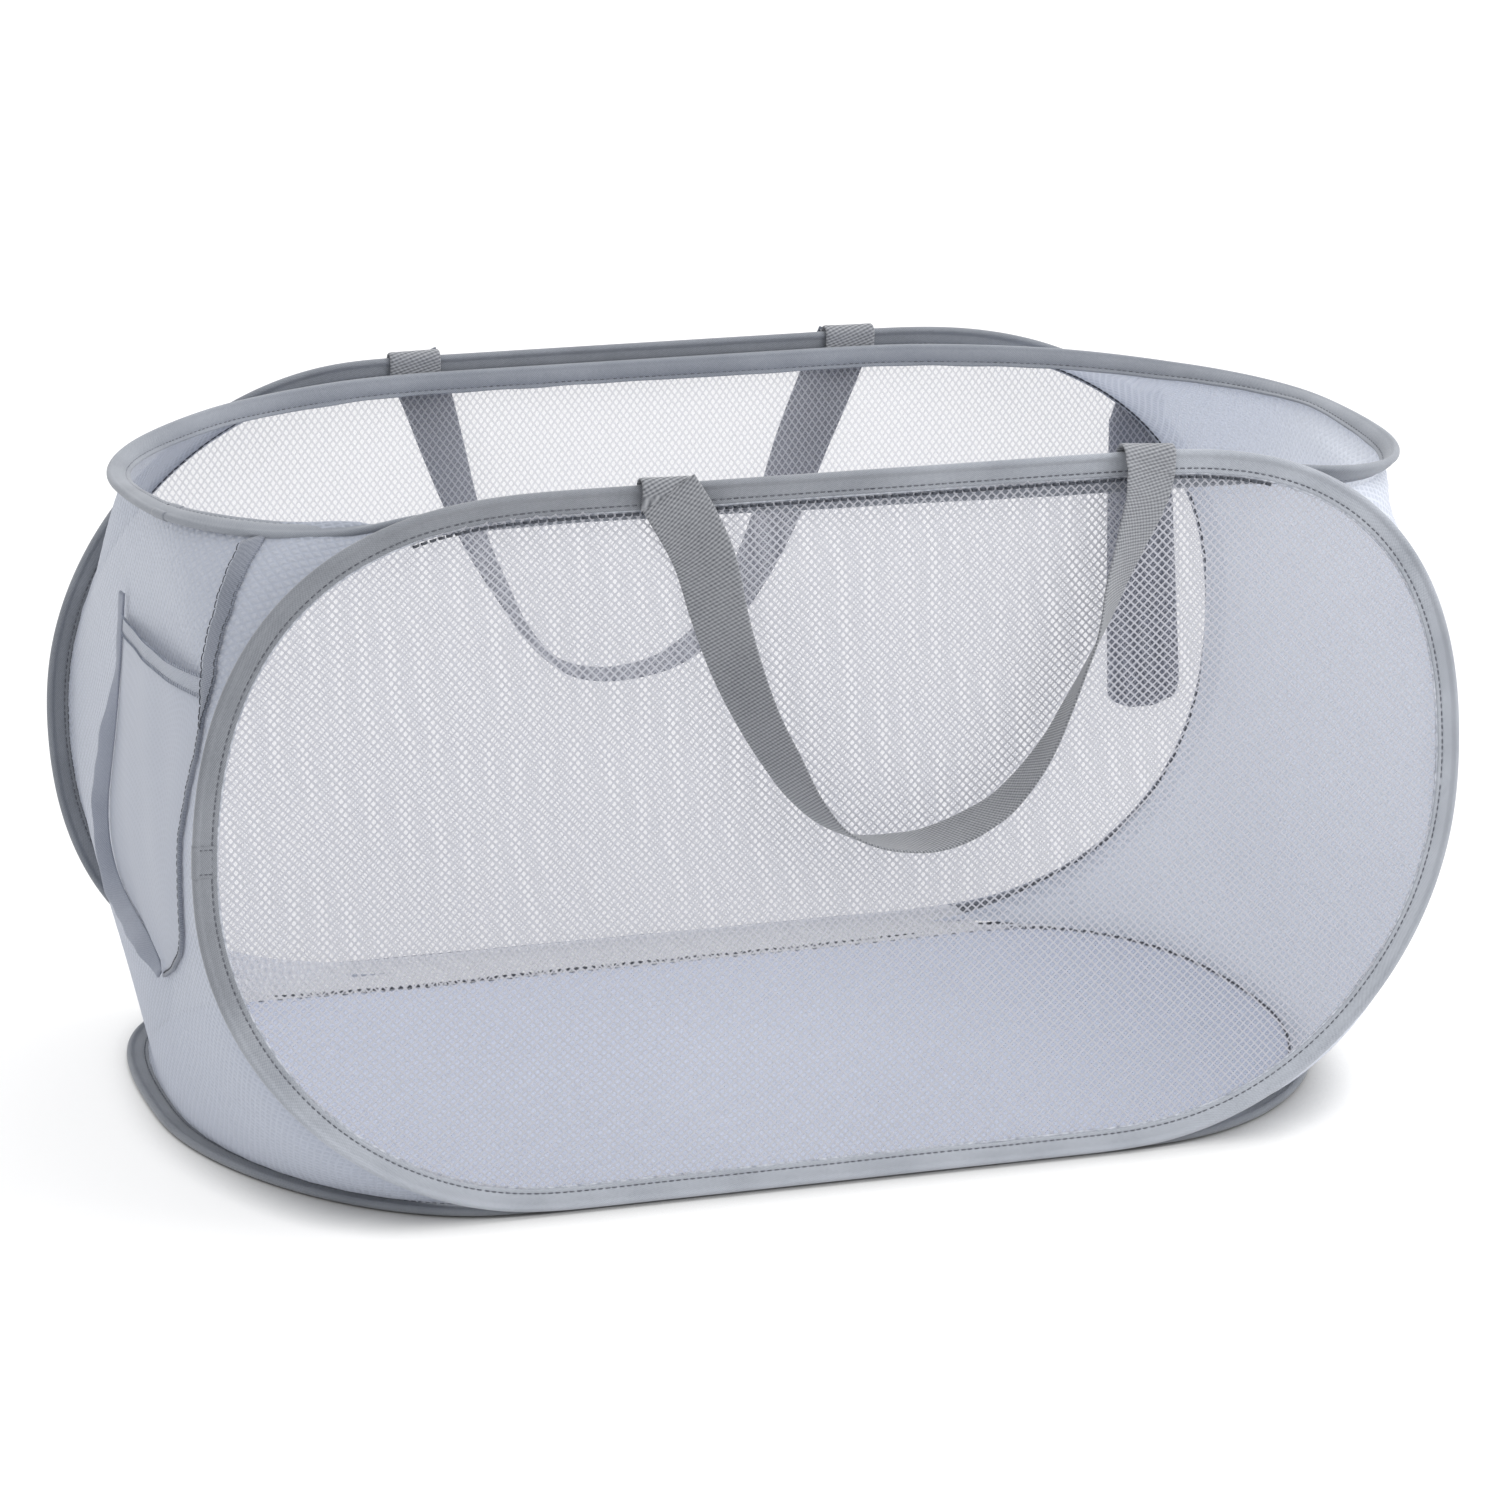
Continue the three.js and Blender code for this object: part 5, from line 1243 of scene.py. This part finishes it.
def ticks(name, line, across, material, pitch, length, radius, body):
    """Short stitches laid across a line instead of along it."""
    d = np.r_[0, np.cumsum(np.linalg.norm(np.diff(line, axis=0), axis=1))]
    rows = []
    for s_ in np.arange(pitch / 2, d[-1], pitch):
        c = np.array([np.interp(s_, d, line[:, k]) for k in range(3)])
        rows.append(c)
    rows = np.array(rows)
    verts, faces = [], []
    for c in rows:
        b0 = len(verts)
        for k, h_ in ((-0.5, -0.4), (-0.25, 0.5), (0.25, 0.5), (0.5, -0.4)):
            q = c + across * length * k + np.array([-1.0, 0, 0]) * (0.1 + radius * h_)
            for a in (0, math.pi / 2, math.pi, 3 * math.pi / 2):
                verts.append(q + np.array([-math.sin(a) * radius * 0.8, math.cos(a) * radius, 0]))
        for k in range(3):
            for a in range(4):
                a2 = (a + 1) % 4
                faces.append((b0 + k * 4 + a, b0 + k * 4 + a2, b0 + (k + 1) * 4 + a2, b0 + (k + 1) * 4 + a))
        faces.append((b0, b0 + 3, b0 + 2, b0 + 1))
        faces.append((b0 + 12, b0 + 13, b0 + 14, b0 + 15))
    ob = new_object(name, np.array(verts), faces, None, True, material)
    face_out(ob)
    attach(ob, body)
    return ob


for k, row in enumerate((1, 6)):
    POCKET_PARTS.append(ticks(f"pocket_hem_stitches_{k + 1}", hem[row] + np.array([-0.35, 0, 0]), np.array([0, 0.1, 1.0]), M_THREAD_SOFT, 2.6, 1.9, 0.26, "bottom"))

# the binding: sewn along its line, its free half standing out from the wall
run = np.linspace(0, 1, len(BIND_LINE))
out_by = 1.6 + 6.2 * smooth01((run - 0.12) / 0.22) * smooth01((1.0 - run) / 0.10 + 0.25)
down_by = 0.8 + 2.4 * smooth01((run - 0.55) / 0.2)
t = np.gradient(BIND_LINE, axis=0)
t /= np.linalg.norm(t, axis=1)[:, None]
away = np.column_stack([0 * t[:, 0], -t[:, 2], t[:, 1]])  # off the pouch
if away[int(np.argmax(BIND_LINE[:, 1]))][1] < 0:
    away = -away
wavy = 0.5 * np.sin(run * 31) + 0.35 * np.sin(run * 67 + 1)
wall = np.array([[end_x(p_[1], p_[2]), p_[1], p_[2]] for p_ in BIND_LINE])
inner = wall + np.array([-2.4, 0, 0]) - away * 2.6
outer = wall + np.array([-2.0, 0, 0]) - np.column_stack([out_by + wavy * 0.6, 0 * run, 0 * run]) + away * (down_by + wavy * 0.4)[:, None]
stitch = wall + np.array([-2.9, 0, 0]) + away * 0.2
M_BIND = woven("pocket_binding_tape", (0.20, 0.22, 0.27), (0.37, 0.395, 0.465), 0.00105, 0.00095, 1.0, bump=0.3)
bind = ribbon("end_pocket_binding", outer, inner, 1.3, M_BIND, "bottom", crown=0.3)
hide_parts("pocket_back_binding")
POCKET_PARTS += [bind, seam("pocket_binding_stitches", stitch, np.repeat(np.array([[-1.0, 0, 0]]), len(stitch), 0), "bottom", pitch=3.4, length=2.2, radius=0.42)]

# the rolled seam: a folded tape from the mouth to the hem, below it a thin turned edge
t = np.gradient(ROLL_LINE, axis=0)
t /= np.linalg.norm(t, axis=1)[:, None]
nrm = np.column_stack([0 * t[:, 0], t[:, 2], -t[:, 1]])
high = smooth01((ROLL_LINE[:, 2] - 236) / 26)
wide = 0.8 + 2.3 * high
wob = 0.4 * np.sin(ROLL_LINE[:, 2] * 0.19) + 0.3 * np.sin(ROLL_LINE[:, 2] * 0.47 + 1)
wall = lambda q: np.array([[end_x(p_[1], p_[2]), p_[1], p_[2]] for p_ in q])
A = wall(ROLL_LINE - nrm * (wide + wob)[:, None]) - np.array([1.4, 0, 0]) - np.column_stack([1.8 * high, 0 * high, 0 * high])
B = wall(ROLL_LINE + nrm * (wide - wob)[:, None]) - np.array([1.4, 0, 0])
M_ROLL = woven("pocket_rolled_tape", (0.125, 0.14, 0.175), (0.30, 0.32, 0.375), 0.00105, 0.00095, 1.0, bump=0.5)
roll = ribbon("end_pocket_rolled_seam", A, B, 1.6, M_ROLL, "bottom", crown=0.5)
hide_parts("pocket_front_seam")
POCKET_PARTS.append(roll)
for k, e in enumerate((A, B)):
    sel = e[:, 2] > (232 if k else 0)
    pts = e[sel] + np.array([-0.75, 0, 0])
    POCKET_PARTS.append(seam(f"pocket_seam_edge_{k + 1}", pts, np.repeat(np.array([[-1.0, 0, 0]]), len(pts), 0), "bottom", pitch=4.0, length=3.6, radius=0.36))
for ob in POCKET_PARTS:
    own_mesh(ob)


# ------------------------------------------------------------------ camera, lights, floor
cam_data = bpy.data.cameras.new("camera")
cam = bpy.data.objects.new("camera", cam_data)
bpy.context.scene.collection.objects.link(cam)
cam_data.sensor_fit = "HORIZONTAL"
cam_data.sensor_width = 36
cam_data.lens = 5777.67 / 1500 * 36
cam_data.shift_x = 0.0
cam_data.shift_y = 0.0
cam_data.clip_end = 50
right = Vector((0.94886696, -0.31560043, 0.00691754))
up = Vector((0.07984914, 0.26115556, 0.96198851))
back = Vector((-0.30541055, -0.91224675, 0.27300231))
pos = Vector(place([-842.77, -2554.29, 924.57]))
cam.matrix_world = Matrix(
    (
        (right.x, up.x, back.x, pos.x),
        (right.y, up.y, back.y, pos.y),
        (right.z, up.z, back.z, pos.z),
        (0, 0, 0, 1),
    )
)
bpy.context.scene.camera = cam

bm = bmesh.new()
bmesh.ops.create_grid(bm, x_segments=4, y_segments=4, size=16.0)
for v in bm.verts:
    v.co.z = -0.0006
me = bpy.data.meshes.new("studio_floor")
bm.to_mesh(me)
bm.free()
me.polygons.foreach_set("use_smooth", [True] * len(me.polygons))
floor = bpy.data.objects.new("studio_floor", me)
bpy.context.scene.collection.objects.link(floor)
M_FLOOR, _nt, _b = principled("studio_paper", (0.40, 0.40, 0.40), 0.95)
_c = ramp(_nt, cloth_noise(_nt, 3.0), [(0.3, (0.398, 0.398, 0.398)), (0.7, (0.402, 0.402, 0.402))])
_nt.links.new(_c, _b.inputs["Base Color"])
# the paper glows as painted light, and its glow fades by ambient occlusion under what stands close over it, as a
# painted contact shadow
_b.inputs["Emission Color"].default_value = (1, 1, 1, 1)
_ao = _nt.nodes.new("ShaderNodeAmbientOcclusion")
_ao.samples = 6
_ao.inputs["Distance"].default_value = 0.03
_near = _nt.nodes.new("ShaderNodeMapRange")
_near.inputs["From Min"].default_value = 0.15
_near.inputs["From Max"].default_value = 0.85
_near.inputs["To Min"].default_value = 0.0
_near.inputs["To Max"].default_value = 0.62
_nt.links.new(_ao.outputs["AO"], _near.inputs["Value"])
_nt.links.new(_near.outputs[0], _b.inputs["Emission Strength"])
me.materials.append(M_FLOOR)

world = bpy.data.worlds.new("studio")
bpy.context.scene.world = world
world.use_nodes = True
world.node_tree.nodes["Background"].inputs[0].default_value = (1.0, 1.0, 1.0, 1)
world.node_tree.nodes["Background"].inputs[1].default_value = 0.96


def area_light(name, loc, target, size, power, colour=(1, 1, 1)):
    data = bpy.data.lights.new(name, "AREA")
    data.shape = "RECTANGLE"
    data.size, data.size_y = size
    data.energy = power
    data.color = colour
    ob = bpy.data.objects.new(name, data)
    bpy.context.scene.collection.objects.link(ob)
    ob.location = loc
    ob.rotation_euler = (Vector(target) - Vector(loc)).to_track_quat("-Z", "Y").to_euler()
    return ob


area_light("key_softbox", (1.2, -0.5, 2.5), (0, 0, 0.12), (3.2, 3.0), 41)
area_light("front_softbox", (1.9, -1.9, 1.2), (0, 0, 0.15), (1.6, 1.4), 13)
area_light("paper_softbox", (1.6, 4.4, 2.8), (1.6, 4.6, 0), (7.0, 5.0), 90)

bpy.context.scene.view_settings.view_transform = "Standard"
bpy.context.scene.view_settings.look = "None"
